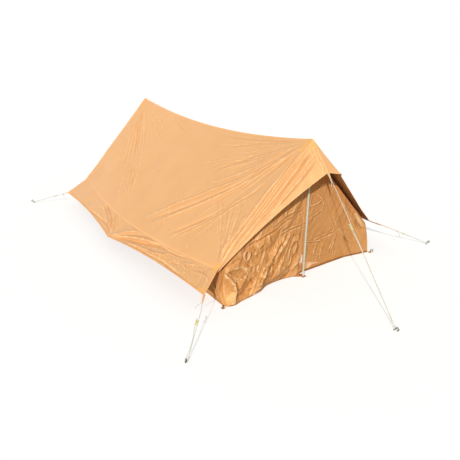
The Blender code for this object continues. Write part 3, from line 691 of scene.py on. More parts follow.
def cloth_piece(
    shape, columns, rows, size, outward, spans=WHOLE, lift=0.0, thickness=FLY_THICKNESS
):
    """A sheet of cloth: a grid laid on shape(s, v) over the spans, lifted off it and given its wall.

    size is the cloth's flat length and width, for its map. outward is roughly its outer side.
    """
    bpy.ops.object.select_all(action="DESELECT")
    bpy.ops.mesh.primitive_grid_add(x_subdivisions=columns, y_subdivisions=rows, size=1)
    made = bpy.context.object
    mesh = made.data
    flat = np.zeros(len(mesh.vertices) * 3)
    mesh.vertices.foreach_get("co", flat)
    flat = flat.reshape(-1, 3) + 0.5
    s, v = lerp(*spans[0], flat[:, 0]), lerp(*spans[1], flat[:, 1])
    points = shape(s, v)
    mesh.vertices.foreach_set("co", points.ravel())
    corners = np.zeros(len(mesh.loops), int)
    mesh.loops.foreach_get("vertex_index", corners)
    mesh.uv_layers.active.data.foreach_set("uv", (np.stack([s, v], -1) * size)[corners].ravel())
    mesh.update()
    normals = np.zeros(len(mesh.vertices) * 3)
    mesh.vertex_normals.foreach_get("vector", normals)
    normals = normals.reshape(-1, 3)
    if (normals @ np.array(outward)).sum() < 0:
        bpy.ops.object.mode_set(mode="EDIT")
        bpy.ops.mesh.select_all(action="SELECT")
        bpy.ops.mesh.flip_normals()
        bpy.ops.object.mode_set(mode="OBJECT")
        normals = -normals
    mesh.vertices.foreach_set("co", (points + normals * lift).ravel())
    creases = mesh.attributes.new("crease", "FLOAT", "POINT")
    creases.data.foreach_set("value", crease_values(points, normals, columns, rows))
    mesh.update()
    apply_modifier(made, "SOLIDIFY", thickness=thickness, offset=-1)
    smooth(made, 60)
    return made


# The folds of the two roof slopes, in metres back along the ridge from the front peak and down
# from the ridge. The longest run from the front peak to the middle of the eave.
long_folds = [
    ([(0.035, 0.067), (0.249, 0.275), (0.573, 0.503), (0.837, 0.711), (1.116, 0.994)], 0.0114, 0.0090),
    ([(0.12, 0.21), (0.528, 0.545), (0.812, 0.786), (1.006, 0.949)], 0.0123, -0.0075),
    ([(0.025, 0.067), (0.229, 0.300), (0.498, 0.570), (0.812, 0.845), (0.956, 0.986)], 0.0176, 0.0120),
    ([(0.105, 0.366), (0.249, 0.549), (0.523, 0.824), (0.687, 0.978)], 0.0123, -0.0067),
    ([(0.16, 0.42), (0.453, 0.799), (0.538, 0.878), (0.637, 0.986)], 0.0097, 0.0063),
    ([(0.18, 0.50), (0.359, 0.732), (0.478, 0.861), (0.56, 0.96)], 0.0106, 0.0053),
    ([(0.134, 0.058), (0.408, 0.166), (0.618, 0.287), (0.80, 0.40)], 0.0106, -0.0042),
    ([(0.120, 0.062), (0.423, 0.208), (0.722, 0.379)], 0.0114, 0.0042),
    ([(0.124, 0.029), (0.493, 0.075), (0.802, 0.155)], 0.0088, -0.0039),
    ([(0.129, 0.025), (0.528, 0.045), (0.991, 0.067)], 0.0079, -0.0036),
    ([(0.18, 0.15), (0.45, 0.34), (0.72, 0.50)], 0.0123, 0.0042),
    ([(2.415, 0.121), (2.196, 0.325), (1.977, 0.499), (1.900, 0.545)], 0.0070, 0.0120),
    ([(1.800, 0.640), (1.778, 0.657), (1.723, 0.695)], 0.0080, 0.0095),
    ([(1.680, 0.720), (1.643, 0.745), (1.600, 0.820)], 0.0072, 0.0090),
    ([(2.380, 0.100), (1.877, 0.466), (1.698, 0.624), (1.494, 0.836), (1.389, 0.940)], 0.0123, 0.0067),
    ([(2.390, 0.130), (2.266, 0.312), (1.912, 0.612), (1.589, 0.857), (1.434, 0.990)], 0.0106, 0.0072),
    ([(2.400, 0.150), (2.301, 0.320), (1.987, 0.641), (1.569, 0.982)], 0.0097, 0.0057),
    ([(2.410, 0.160), (2.341, 0.312), (2.032, 0.707), (1.872, 0.895), (1.840, 0.986)], 0.0106, 0.0051),
    ([(2.420, 0.180), (2.365, 0.345), (2.171, 0.699), (2.116, 0.907)], 0.0088, 0.0042),
    ([(2.236, 0.582), (2.326, 0.716)], 0.0070, 0.0045),
    ([(2.271, 0.840), (2.301, 0.990)], 0.0070, 0.0045),
    ([(1.977, 0.121), (1.803, 0.187)], 0.0070, -0.0042),
    ([(1.678, 0.083), (1.479, 0.133)], 0.0070, -0.0042),
    ([(1.952, 0.208), (1.773, 0.279)], 0.0079, -0.0027),
]
corner_folds = [
    ([(0.012, 0.10), (0.020, 0.42), (0.026, 0.70), (0.020, 0.95)], 0.0097, 0.0090),
    ([(0.030, 0.16), (0.040, 0.48), (0.046, 0.80), (0.030, 0.98)], 0.0106, -0.0067),
    ([(0.050, 0.30), (0.066, 0.62), (0.060, 0.96)], 0.0097, 0.0067),
    ([(0.090, 0.62), (0.085, 0.80), (0.050, 0.98)], 0.0088, 0.0060),
]
roof_folds = {
    -1: long_folds
    + corner_folds
    + fan((0, 0), 38, 30, 26, 0.10, 1.10, 0.008, 0.0032, 3)
    + fan((2.485, 0), 142, 32, 18, 0.10, 1.05, 0.009, 0.0028, 4)
    + fan((0.0, 1.02), -72, 24, 20, 0.03, 0.55, 0.008, 0.0048, 5)
    + fan((2.46, 1.02), -108, 22, 12, 0.03, 0.35, 0.008, 0.0022, 6)
    + scatter(60, (0.15, 0.45), (1.0, 1.0), -52, 0.07, 0.006, 0.0032, 7)
    + scatter(40, (0.9, 0.2), (2.3, 1.0), -35, 0.06, 0.007, 0.0016, 8),
}
roof_folds[1] = (
    [
        ([(back, down * 0.97 + 0.01) for back, down in path], 1.1 * width, 0.9 * rise)
        for path, width, rise in long_folds[:11]
    ]
    + corner_folds
    + fan((0, 0), 40, 30, 30, 0.10, 1.15, 0.009, 0.0042, 13)
    + fan((2.485, 0), 140, 32, 30, 0.10, 1.10, 0.009, 0.0045, 14)
    + fan((0.0, 1.02), -72, 24, 20, 0.03, 0.55, 0.008, 0.0034, 15)
    + fan((2.46, 1.02), -108, 22, 16, 0.03, 0.45, 0.008, 0.0026, 16)
    + scatter(90, (0.15, 0.2), (2.3, 1.0), -45, 0.07, 0.007, 0.0020, 17)
)


def roof_relief(side, s, v):
    """How far the roof stands off its flat slope: its folds, fading out at the sewn edges."""
    flat = np.stack([s * 2 * HALF, v * SLOPE], -1)
    at_ends = fade(s * 2 * HALF, SEWN_EDGE) * fade((1 - s) * 2 * HALF, SEWN_EDGE)
    at_ridge = fade(v * SLOPE, 0.02)
    soft = 0.0022 * ripple(flat, 0.30, 20 + side) + 0.0008 * ripple(flat, 0.10, 30 + side)
    return (fold_height(flat, roof_folds[side]) + soft * bump(v)) * at_ends * at_ridge


def roof_shape(side):
    outward = np.array([side, 0, 1]) / math.sqrt(2)

    def shape(s, v):
        base = lerp(ridge_line(s), eave_line(side, s), v[..., None])
        hollow = ROOF_HOLLOW * np.clip(6 * s, 0, 1) * np.clip(6 * (1 - s), 0, 1) * bump(v)
        return base + outward * (roof_relief(side, s, v) - hollow)[..., None]

    return shape


skirt_folds = {
    -1: [
        ([(1.240, 0.161), (1.494, 0.094), (1.808, 0.007)], 0.0095, -0.0081),
        ([(1.240, 0.157), (1.454, 0.070), (1.703, 0.007)], 0.0095, 0.0074),
        ([(1.240, 0.154), (1.400, 0.079), (1.580, 0.007)], 0.0085, -0.0068),
        ([(1.240, 0.154), (1.335, 0.098), (1.449, 0.007)], 0.0085, 0.0068),
        ([(1.240, 0.154), (1.300, 0.072), (1.350, 0.007)], 0.0085, -0.0061),
        ([(1.255, 0.168), (1.399, 0.136), (1.594, 0.155), (1.897, 0.189)], 0.0114, -0.0101),
        ([(1.215, 0.172), (1.076, 0.064), (0.990, 0.000)], 0.0171, 0.0108),
        ([(1.210, 0.176), (0.990, 0.072), (0.840, 0.007)], 0.0152, -0.0074),
        ([(1.210, 0.177), (0.916, 0.066), (0.660, 0.007)], 0.0228, 0.0149),
        ([(1.180, 0.172), (0.881, 0.108), (0.667, 0.039), (0.520, 0.020)], 0.0209, -0.0149),
        ([(0.980, 0.161), (0.712, 0.134), (0.533, 0.096), (0.463, 0.013)], 0.0133, 0.0081),
        ([(0.946, 0.172), (0.682, 0.172), (0.513, 0.160), (0.359, 0.174), (0.180, 0.177)], 0.0104, -0.0081),
        ([(0.608, 0.039), (0.433, 0.034), (0.299, 0.007)], 0.0114, -0.0054),
        ([(0.453, 0.126), (0.334, 0.100)], 0.0085, -0.0047),
        ([(0.329, 0.071), (0.199, 0.034)], 0.0085, 0.0047),
        ([(0.060, 0.013), (0.040, 0.098), (0.030, 0.177)], 0.0133, 0.0068),
        ([(0.110, 0.026), (0.090, 0.105), (0.085, 0.177)], 0.0114, -0.0041),
    ]
    + fan((1.24, 0.172), 215, 22, 14, 0.05, 0.55, 0.010, 0.0050, 41)
    + fan((1.24, 0.172), 326, 24, 14, 0.05, 0.50, 0.010, 0.0055, 42)
    + scatter(44, (0.10, 0.03), (0.85, 0.16), 160, 0.09, 0.008, 0.0055, 43)
    + scatter(16, (1.6, 0.03), (2.35, 0.16), 20, 0.07, 0.008, 0.0022, 44),
    1: fan((1.24, 0.172), 215, 26, 22, 0.04, 0.85, 0.014, 0.0075, 51)
    + fan((1.24, 0.172), 326, 26, 22, 0.04, 0.85, 0.014, 0.0075, 52)
    + scatter(60, (0.10, 0.03), (2.35, 0.16), 170, 0.09, 0.008, 0.0032, 53),
}


def skirt_shape(side):
    outward = np.array([side, 0, 0.8]) / math.hypot(1, 0.8)
    roof_outward = np.array([side, 0, 1]) / math.sqrt(2)

    def shape(s, v):
        flat = np.stack([s * 2 * HALF, v * SKIRT_WIDTH], -1)
        base = lerp(eave_line(side, s), hem_line(side, s), v[..., None])
        relief = fold_height(flat, skirt_folds[side]) + 0.003 * ripple(flat, 0.22, 60 + side)
        relief *= fade(v * SKIRT_WIDTH, 0.025)
        relief *= fade(s, 0.01) * fade(1 - s, 0.01)
        seam = roof_relief(side, s, np.ones_like(s)) * np.clip(1 - v / 0.3, 0, 1)
        return base + outward * relief[..., None] + roof_outward * seam[..., None]

    return shape


# The hood's folds, in metres from its tip's line towards an eave corner and from its edge towards
# its seam. The deepest ones run down from the peak.
HOOD_LENGTH, HOOD_WIDTH = 1.035, 0.244
hood_folds = [
    ([(0.024, 0.175), (0.110, 0.158), (0.200, 0.130), (0.330, 0.105), (0.465, 0.066),
      (0.640, 0.040)], 0.0118, -0.0098),
    ([(0.040, 0.196), (0.186, 0.160), (0.351, 0.122), (0.520, 0.094), (0.670, 0.064),
      (0.800, 0.036)], 0.0112, 0.0086),
    ([(0.030, 0.132), (0.200, 0.088), (0.340, 0.062), (0.520, 0.036)], 0.0126, 0.0081),
    ([(0.060, 0.100), (0.220, 0.062), (0.420, 0.034)], 0.0090, -0.0047),
    ([(0.075, 0.215), (0.260, 0.172), (0.450, 0.126), (0.700, 0.066)], 0.0086, -0.0052),
]


def hood_shape(end):
    """The hood's two slopes, from the left eave corner over its tip to the right one."""
    peak = np.array([0, end * HALF, POLE_HEIGHT])
    tip = np.array([0, end * (HALF + HOOD_REACH), POLE_HEIGHT - HOOD_DROP])
    folds = hood_folds if end < 0 else [(path, width, 0.8 * rise) for path, width, rise in hood_folds]
    folds = folds + fan((HOOD_LENGTH, 0.0), 174, 8, 10, 0.05, 0.95, 0.008, 0.0028, 70 + end)
    folds += fan((0.0, HOOD_WIDTH), -58, 34, 8, 0.03, 0.24, 0.009, 0.0024, 75 + end)

    def shape(u, v):
        across = (2 * u - 1) * HOOD_SPAN
        t = np.abs(across)[..., None]
        at_end = np.array(0.0 if end < 0 else 1.0)
        corners, laps = [], []
        for side in (-1, 1):
            corners.append(eave_line(side, at_end))
            laps.append(lerp(corners[-1], hem_line(side, at_end), HOOD_LAP[side]))
        left = (across < 0)[..., None]
        seam = lerp(peak, np.where(left, *corners), t)
        edge = lerp(tip, np.where(left, *laps), t)
        width = seam - edge
        edge = edge + width / np.linalg.norm(width, axis=-1, keepdims=True) * HOOD_BOW * bump(t)
        # The right half is puffed out: beside the tip it still faces ahead, up to a crest that runs
        # down from the peak. Past it the cloth turns away, nearly in line with the roof.
        right = (across > 0)[..., None]
        crest_at = CREST_PLACE * (1 - v[..., None]) + 0.004
        puffed = np.minimum(t / crest_at, 1 - (t - crest_at) / (0.5 * CREST_PLACE))
        puffed = np.clip(puffed, 0, 1) * (1 - v[..., None]) * right
        lifted = HOOD_LIFT * np.clip(1 - t / HOOD_LIFT_END, 0, 1) * right
        lifted = lifted * np.clip((t - CREST_PLACE) / (0.5 * CREST_PLACE), 0, 1)
        edge = edge + HOOD_LIFT_TOWARDS * (1, end, 1) * lifted
        flat = np.stack([t[..., 0] * HOOD_LENGTH, v * (1 - t[..., 0]) * HOOD_WIDTH], -1)
        relief = fold_height(flat, folds) + 0.0015 * ripple(flat, 0.12, 80 + end)
        relief *= fade(1 - v, 0.08) * np.clip(v / 0.06, 0.25, 1)
        relief *= fade(t[..., 0], 0.02)
        relief *= np.where(across > 0, np.clip((t[..., 0] - 0.15) / 0.2, 0, 0.6), 1)
        outward = np.array([0, end * 0.75, 0.66]) + np.sign(across)[..., None] * np.array([0.35, 0, 0])
        crest_out = HOOD_PUFF * (1, end, 1) * puffed
        return lerp(edge, seam, v[..., None]) + crest_out + outward * relief[..., None]

    return shape


RIDGE_SEAM, EAVE_SEAM, HOOD_SEAM, HEM = 0.014, 0.017, 0.015, 0.015
SEAM_LIFT = 0.0006
FLY_TAPE, HOOD_TAPE = SEAM_LIFT + 0.0002, SEAM_LIFT + 0.0003
PULL_STRIP = 0.012


def sew_on(shape, size, outward, ending, seams, thickness=SEAM_LIFT, body="root"):
    """Seam tapes and patches that lie on a sheet of cloth, the patches over the tapes.

    Each row of seams is a name, the columns and rows of its grid, its spans of the sheet and its
    material. The ending closes each name.
    """
    return [
        add_piece(
            cloth_piece(
                shape, columns, rows, size, outward, spans,
                2 * SEAM_LIFT if "patch" in name else SEAM_LIFT, thickness,
            ),
            name + ending, material, body,
        )
        for name, columns, rows, spans, material in seams
    ]


for side_name, side in SIDES.items():
    outward = (side, 0, 1)
    roof, skirt = roof_shape(side), skirt_shape(side)
    roof_size, skirt_size = (2 * HALF, SLOPE), (2 * HALF, SKIRT_WIDTH)
    roof_sheet = add_piece(
        cloth_piece(roof, 340, 142, roof_size, outward),
        f"fly_slope_{side_name}", fly_nylon, "root", [f"fly_roof_{side_name}"],
    )
    skirt_sheet = add_piece(
        cloth_piece(skirt, 440, 52, skirt_size, outward),
        f"fly_skirt_{side_name}_sheet", fly_nylon, "root", [f"fly_skirt_{side_name}"],
    )
    share = HOOD_SEAM / (2 * HALF)
    roof_seams = (
        ("ridge_seam", 240, 3, ((0, 1), (0, RIDGE_SEAM / SLOPE)), seam_nylon),
        ("eave_seam", 300, 4, ((0, 1), (1 - EAVE_SEAM / SLOPE, 1)), seam_nylon),
        ("front_seam", 4, 120, ((0, share), (0, 1)), seam_nylon),
        ("rear_seam", 4, 120, ((1 - share, 1), (0, 1)), seam_nylon),
        ("front_peak_patch", 16, 24, ((0, 0.017), (0, 0.105)), patch_nylon),
        ("rear_peak_patch", 16, 24, ((0.983, 1), (0, 0.105)), patch_nylon),
        ("front_eave_patch", 14, 20, ((0, 0.022), (0.955, 1)), patch_nylon),
        ("rear_eave_patch", 14, 20, ((0.978, 1), (0.955, 1)), patch_nylon),
    )
    skirt_seams = (
        ("hem", 300, 4, ((0, 1), (1 - HEM / SKIRT_WIDTH, 1)), hem_nylon),
        ("front_hem", 5, 40, ((0, 0.006), (0, 1)), seam_nylon),
        ("rear_hem", 5, 40, ((0.994, 1), (0, 1)), seam_nylon),
        (
            "pull_strip", 5, 40, ((0.4975, 0.4975 + PULL_STRIP / (2 * HALF)), (0.1, 0.96)), seam_nylon
        ),
        ("front_skirt_patch", 16, 16, ((0, 0.022), (0, 0.16)), patch_nylon),
        ("front_corner_patch", 20, 20, ((0, 0.030), (0.80, 1)), patch_nylon),
        ("rear_corner_patch", 20, 20, ((0.970, 1), (0.80, 1)), patch_nylon),
        ("pull_patch", 20, 20, ((0.494, 0.506), (0.86, 1)), seam_nylon),
    )
    for sheet, shape, size, seams, rests_on in (
        (roof_sheet, roof, roof_size, roof_seams, ["peak_cup_front", "peak_cup_rear"]),
        (skirt_sheet, skirt, skirt_size, skirt_seams, [f"fly_slope_{side_name}"]),
    ):
        sewn_on = sew_on(shape, size, outward, f"_{side_name}", seams, FLY_TAPE)

for end_name, end in ENDS.items():
    hood = hood_shape(end)
    outward = (0, end, 1)
    hood_size = (2 * HOOD_LENGTH, HOOD_WIDTH)
    hood_sheet = add_piece(
        cloth_piece(hood, 440, 64, hood_size, outward),
        f"fly_hood_{end_name}_sheet", fly_nylon, "root", [f"fly_hood_{end_name}"],
    )
    hood_seams = (
        ("hood_hem", 280, 5, ((0.02, 0.98), (0, 0.07)), seam_nylon),
        ("hood_tip_seam", 4, 40, ((0.4965, 0.5035), (0.02, 1)), seam_nylon),
        ("hood_peak_patch", 40, 24, ((0.478, 0.512), (0.74, 1)), patch_nylon),
    )
    sewn_on = sew_on(
        hood, hood_size, outward, f"_{end_name}", hood_seams, HOOD_TAPE
    )

# Webbing tabs
# Woven nylon tape, doubled and stitched under the cloth at each pulled corner. It tapers to the
# loop that the guy line is tied to.
CORNER_TAB_WIDTHS, RIDGE_TAB_WIDTHS = (0.017, 0.008), (0.022, 0.008)
TAB_LAP = 0.009  # sewn on under the cloth
TAB_LOOP = 0.002  # past the solid's end, round the cord
TAB_THICKNESS = 0.0022
WEBBING_COLOUR, WEBBING_SHADE = "#F3BC80", "#E4A664"
CREAM_COLOUR, CREAM_SHADE = "#F2DDB0", "#D9BE8A"
RIB = 0.0022  # ribs of the webbing
TAB_STATIONS = 12


def woven_tape(name, colour, shade_colour):
    """Nylon webbing: dull, with ribs across it and painted shade in the hollows between them."""
    material, tree, output = new_material(name)
    place = node(tree, "ShaderNodeTexCoord")
    ribs = node(
        tree, "ShaderNodeTexWave", {"bands_direction": "X", "Scale": WAVE_PERIOD / RIB, "Distortion": 0.6},
        {"Vector": place.outputs["UV"]},
    )
    tone = node(
        tree, "ShaderNodeMix", {"data_type": "RGBA", 6: linear(shade_colour), 7: linear(colour)},
        {0: ribs.outputs["Fac"]},
    )
    relief = node(
        tree, "ShaderNodeBump", {"Strength": 0.5, "Distance": 0.0005}, {"Height": ribs.outputs["Fac"]}
    )
    shader = node(
        tree, "ShaderNodeBsdfPrincipled", {"Roughness": 0.75, "Sheen Weight": 0.2},
        {"Base Color": tone.outputs[2], "Normal": relief.outputs["Normal"]},
    )
    tree.links.new(shader.outputs["BSDF"], output.inputs["Surface"])
    return material


tan_webbing = woven_tape("tan_nylon_webbing", WEBBING_COLOUR, WEBBING_SHADE)
cream_webbing = woven_tape("cream_cotton_tape", CREAM_COLOUR, CREAM_SHADE)
tie_tape = woven_tape("tan_cotton_tie", "#F4C894", "#DCAB70")


def band(path, widths, across, thickness, outward):
    """A tape along a path of points, with its width at each, lying across the given direction."""
    path = np.array(path, float)
    widths = np.array(widths, float)
    across = np.array(across, float)
    stations = np.linspace(0, 1, len(path))
    length = np.linalg.norm(np.diff(path, axis=0), axis=1).sum()

    def shape(s, v):
        middle = np.stack([np.interp(s, stations, path[:, i]) for i in range(3)], -1)
        width = np.interp(s, stations, widths)
        return middle + across * ((v - 0.5) * width)[..., None]

    return cloth_piece(
        shape, 2 * len(path), 8, (length, widths.max()), outward, thickness=thickness
    )


for name, guy in guys.items():
    end_name, side_name = name.split("_")
    is_ridge = side_name == "ridge"
    node_name = f"ridge_tab_{end_name}" if is_ridge else f"corner_tab_{name}"
    low, high = extent(node_name, guy["up"])
    axis_point = guy["middle"] - guy["up"] * guy["middle"].dot(guy["up"])
    start = axis_point + guy["up"] * (high + (0 if is_ridge else TAB_LAP))
    finish = axis_point + guy["up"] * (low - TAB_LOOP)
    points = [start.lerp(finish, t) for t in np.linspace(0, 1, TAB_STATIONS)]
    ends = RIDGE_TAB_WIDTHS if is_ridge else CORNER_TAB_WIDTHS
    widths = [lerp(*ends, t**0.7) for t in np.linspace(0, 1, TAB_STATIONS)]
    webbing = band(points, widths, guy["across"], TAB_THICKNESS, guy["facing"])
    tab_material = cream_webbing if is_ridge else tan_webbing
    add_piece(webbing, f"{node_name}_webbing", tab_material, "root", [node_name])

# Poles
# Drawn aluminium tube, 16 mm outside, painted off-white. Each pole is three sections that push
# together on swaged spigots, with a white plastic foot and a tapered tip in the peak cup.
POLE_RADIUS = 0.008
POLE_TIP_RADIUS = 0.003
POLE_SIDES = 48
POLE_EDGE, POLE_JOINT = 0.0012, 0.0008  # the rounded edge, and the gap between two sections
SECTION_ABOVE = {"lower": "middle", "middle": "upper"}
FOOT_HEIGHT, FOOT_RADIUS = 0.040, 0.0094
POLE_COLOUR, POLE_SHADE = "#EEEEDD", "#D2D2BC"

# Painted aluminium: pale and satin, with faint scuffs along the tube
painted_tube, tree, output = new_material("painted_aluminium_tube")
place = node(tree, "ShaderNodeTexCoord")
stretch = node(tree, "ShaderNodeMapping", {"Scale": (140, 140, 9)}, {"Vector": place.outputs["Object"]})
scuffs = node(tree, "ShaderNodeTexNoise", {"Scale": 1, "Detail": 6}, {"Vector": stretch.outputs["Vector"]})
tone = node(
    tree, "ShaderNodeMix", {"data_type": "RGBA", 6: linear(POLE_SHADE), 7: linear(POLE_COLOUR)},
    {0: scuffs.outputs["Fac"]},
)
gloss = node(tree, "ShaderNodeMapRange", {"To Min": 0.3, "To Max": 0.5}, {0: scuffs.outputs["Fac"]})
shader = node(
    tree, "ShaderNodeBsdfPrincipled", {"Metallic": 0.25},
    {"Base Color": tone.outputs[2], "Roughness": gloss.outputs["Result"]},
)
tree.links.new(shader.outputs["BSDF"], output.inputs["Surface"])

# Moulded nylon: white, smooth and a little glossy
white_plastic, tree, output = new_material("moulded_white_nylon")
place = node(tree, "ShaderNodeTexCoord")
grime = node(tree, "ShaderNodeTexNoise", {"Scale": 120, "Detail": 5}, {"Vector": place.outputs["Object"]})
tone = node(
    tree, "ShaderNodeMix", {"data_type": "RGBA", 6: linear("#F4F4EE"), 7: linear("#D9D6C8")},
    {0: grime.outputs["Fac"]},
)
shader = node(tree, "ShaderNodeBsdfPrincipled", {"Roughness": 0.4}, {"Base Color": tone.outputs[2]})
tree.links.new(shader.outputs["BSDF"], output.inputs["Surface"])


def turned(profile, centre, sides=POLE_SIDES):
    """A turned piece: a ring drawn up through the profile's radii and heights, then closed."""
    bpy.ops.object.select_all(action="DESELECT")
    radius, height = profile[0]
    bpy.ops.mesh.primitive_circle_add(
        vertices=sides, radius=radius, location=(*centre, height), fill_type="NGON"
    )
    made = bpy.context.object
    bpy.ops.object.transform_apply(location=True)
    bpy.ops.object.mode_set(mode="EDIT")
    bpy.ops.mesh.select_all(action="SELECT")
    for (r0, z0), (r1, z1) in zip(profile, profile[1:]):
        bpy.ops.mesh.extrude_region_move(TRANSFORM_OT_translate={"value": (0, 0, z1 - z0)})
        bpy.ops.transform.resize(value=(r1 / r0, r1 / r0, 1), center_override=(*centre, z1))
    bpy.ops.mesh.select_all(action="SELECT")
    bpy.ops.mesh.normals_make_consistent(inside=False)
    bpy.ops.object.mode_set(mode="OBJECT")
    smooth(made, 40)
    return made


for end_name, end in ENDS.items():
    for part in ("lower", "middle", "upper"):
        name = f"{end_name}_pole_{part}"
        low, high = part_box(name)
        centre = (0, end * HALF)
        profile = [(POLE_RADIUS - POLE_EDGE, low.z), (POLE_RADIUS, low.z + POLE_EDGE)]
        if part == "upper":
            taper = POLE_RADIUS * 1.1
            profile += [
                (POLE_RADIUS, high.z - taper), (0.8 * POLE_RADIUS, high.z - 0.55 * taper),
                (POLE_TIP_RADIUS, high.z),
            ]
        else:
            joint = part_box(f"{end_name}_pole_{SECTION_ABOVE[part]}")[0].z - POLE_JOINT
            profile += [(POLE_RADIUS, joint - POLE_EDGE), (POLE_RADIUS - POLE_EDGE, joint)]
        add_piece(
            turned(profile, centre), f"{name}_tube", painted_tube, "root", [name]
        )
    foot_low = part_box(f"{end_name}_pole_lower")[0].z
    foot_top = foot_low + FOOT_HEIGHT
    foot = turned(
        [
            (0.75 * FOOT_RADIUS, foot_low - 0.0003), (FOOT_RADIUS, foot_low + 0.003),
            (FOOT_RADIUS, foot_top - 0.004), (POLE_RADIUS + 0.0003, foot_top),
        ],
        centre,
    )
    add_piece(foot, f"pole_foot_{end_name}", white_plastic, "root")
    frame["nodes"][f"peak_cup_{end_name}"].data.materials.clear()
    frame["nodes"][f"peak_cup_{end_name}"].data.materials.append(cream_webbing)

# Groundsheet
# Heavy nylon, rubbered on its upper face, that lies flat under the walls. It has a small tab under
# each pole's foot and a holed tab at each corner.
FLOOR_CLOTH = 0.0022
INNER_HALF_WIDTH = 0.700
CORNER_REACH = 0.032  # how far the corner pegs pull out the corners of the floor and the walls
DOOR_HALF_WIDTH = 0.483
DOOR_REACH = {-1: 0.035, 1: -0.012}  # the same at the feet of the door's two seams
ZIP_REACH = -0.018
REAR_SCALLOP = 6
WALL_CLOTH = 0.0018
WALL_Y = HALF - EAVE_SETBACK
FLOOR_COLOUR, FLOOR_SHADE = "#BE8348", "#A36B38"
POLE_TAB, POLE_TAB_INSET = (0.036, 0.048), 0.006
CORNER_TAB, CORNER_TAB_OUT, CORNER_TAB_INSET = 0.026, 0.018, 0.004
PEG_CLEARANCE = 0.0006
GRIT = 0.003  # the rubber's grain, about 0.3 mm, drawn 3 mm coarse so that it shows

# Rubbered nylon: brown, nearly matt, with a coarse grain and scuffs
rubbered_nylon, tree, output = new_material("rubbered_floor_nylon")
place = node(tree, "ShaderNodeTexCoord")
grit = node(
    tree, "ShaderNodeTexNoise", {"Scale": 1 / GRIT, "Detail": 3}, {"Vector": place.outputs["Object"]}
)
scuff = node(tree, "ShaderNodeTexNoise", {"Scale": 9, "Detail": 6}, {"Vector": place.outputs["Object"]})
tone = node(
    tree, "ShaderNodeMix", {"data_type": "RGBA", 6: linear(FLOOR_COLOUR), 7: linear(FLOOR_SHADE)},
    {0: scuff.outputs["Fac"]},
)
relief = node(
    tree, "ShaderNodeBump", {"Strength": 0.3, "Distance": 0.0006}, {"Height": grit.outputs["Fac"]}
)
shader = node(
    tree, "ShaderNodeBsdfPrincipled", {"Roughness": 0.7},
    {"Base Color": tone.outputs[2], "Normal": relief.outputs["Normal"]},
)
tree.links.new(shader.outputs["BSDF"], output.inputs["Surface"])


WAVE_SOFTENING = np.linspace(-0.025, 0.025, 5)


def foot_wave(x):
    """The loose left half of the front wall's foot: it bellies out by the corner and is pushed in
    beside the pole."""
    places = (-0.70, -0.64, -0.57, -0.445, -0.385, -0.31, -0.24, -0.15, -0.08)
    stands_out = (0.014, 0.037, 0.016, 0, 0, -0.033, -0.031, -0.020, 0)
    wave = sum(np.interp(x + offset, places, stands_out) for offset in WAVE_SOFTENING)
    wave = wave / len(WAVE_SOFTENING)
    return wave * fade(INNER_HALF_WIDTH - np.abs(x), 0.020) ** 0.5


def foot_reach(end, x):
    """How far the foot of an end wall stands past the wall's own plane, at x across the tent."""
    if end > 0:
        return CORNER_REACH * np.abs(x / INNER_HALF_WIDTH) ** REAR_SCALLOP
    left, right = (DOOR_REACH[side] for side in (-1, 1))
    straight = np.interp(
        x,
        (-INNER_HALF_WIDTH, -DOOR_HALF_WIDTH, 0, DOOR_HALF_WIDTH, INNER_HALF_WIDTH),
        (CORNER_REACH, left, ZIP_REACH, right, CORNER_REACH),
    )
    return straight + foot_wave(x)


def floor_shape(s, v):
    x = lerp(-INNER_HALF_WIDTH, INNER_HALF_WIDTH, s)
    front = -(WALL_Y + WALL_CLOTH + foot_reach(-1, x))
    rear = WALL_Y + WALL_CLOTH + foot_reach(1, x)
    flat = np.stack([x, lerp(front, rear, v)], -1)
    dips = 0.0004 * (ripple(flat, 0.25, 101) - 1)
    return np.stack([flat[..., 0], flat[..., 1], FLOOR_CLOTH + np.minimum(dips, 0)], -1)


floor_size = (2 * INNER_HALF_WIDTH, 2 * (WALL_Y + WALL_CLOTH))
floor_sheet = add_piece(
    cloth_piece(floor_shape, 120, 160, floor_size, (0, 0, 1), thickness=0.0012),
    "groundsheet_cloth", rubbered_nylon, "root", ["groundsheet"],
)
for end_name, end in ENDS.items():
    under_foot = (0, end * (HALF - POLE_TAB_INSET), FLOOR_CLOTH / 2)
    bpy.ops.mesh.primitive_cube_add(size=1, location=under_foot)
    tab = bpy.context.object
    tab.scale = (*POLE_TAB, FLOOR_CLOTH)
    bpy.ops.object.transform_apply()
    apply_modifier(tab, "BEVEL", width=0.0007, segments=2)
    add_piece(tab, f"pole_tab_{end_name}", rubbered_nylon, "root")
    for side_name, side in SIDES.items():
        outer_x = side * (INNER_HALF_WIDTH + CORNER_TAB_OUT)
        outer_y = end * (WALL_Y + WALL_CLOTH + CORNER_REACH + CORNER_TAB_OUT)
        held = Vector((outer_x, outer_y, 0))
        # A square of webbing with a hole that the wire peg goes through
        middle = held - Vector((side, end, 0)) * CORNER_TAB_INSET
        middle.z = FLOOR_CLOTH / 2
        bpy.ops.mesh.primitive_cube_add(size=1, location=middle)
        tab = bpy.context.object
        tab.scale = (CORNER_TAB, CORNER_TAB, FLOOR_CLOTH)
        bpy.ops.object.transform_apply()
        bpy.ops.mesh.primitive_cylinder_add(
            vertices=24, radius=PEG_RADIUS + PEG_CLEARANCE, depth=0.02, location=held
        )
        cut(tab, bpy.context.object)
        apply_modifier(tab, "BEVEL", width=0.0006, segments=2, limit_method="ANGLE")
        add_piece(tab, f"floor_tab_{end_name}_{side_name}", tan_webbing, "root")
        away = Vector((side, end, 0)).normalized()
        peg(f"floor_peg_{end_name}_{side_name}", held + Vector((0, 0, FLOOR_CLOTH)), away, 0)

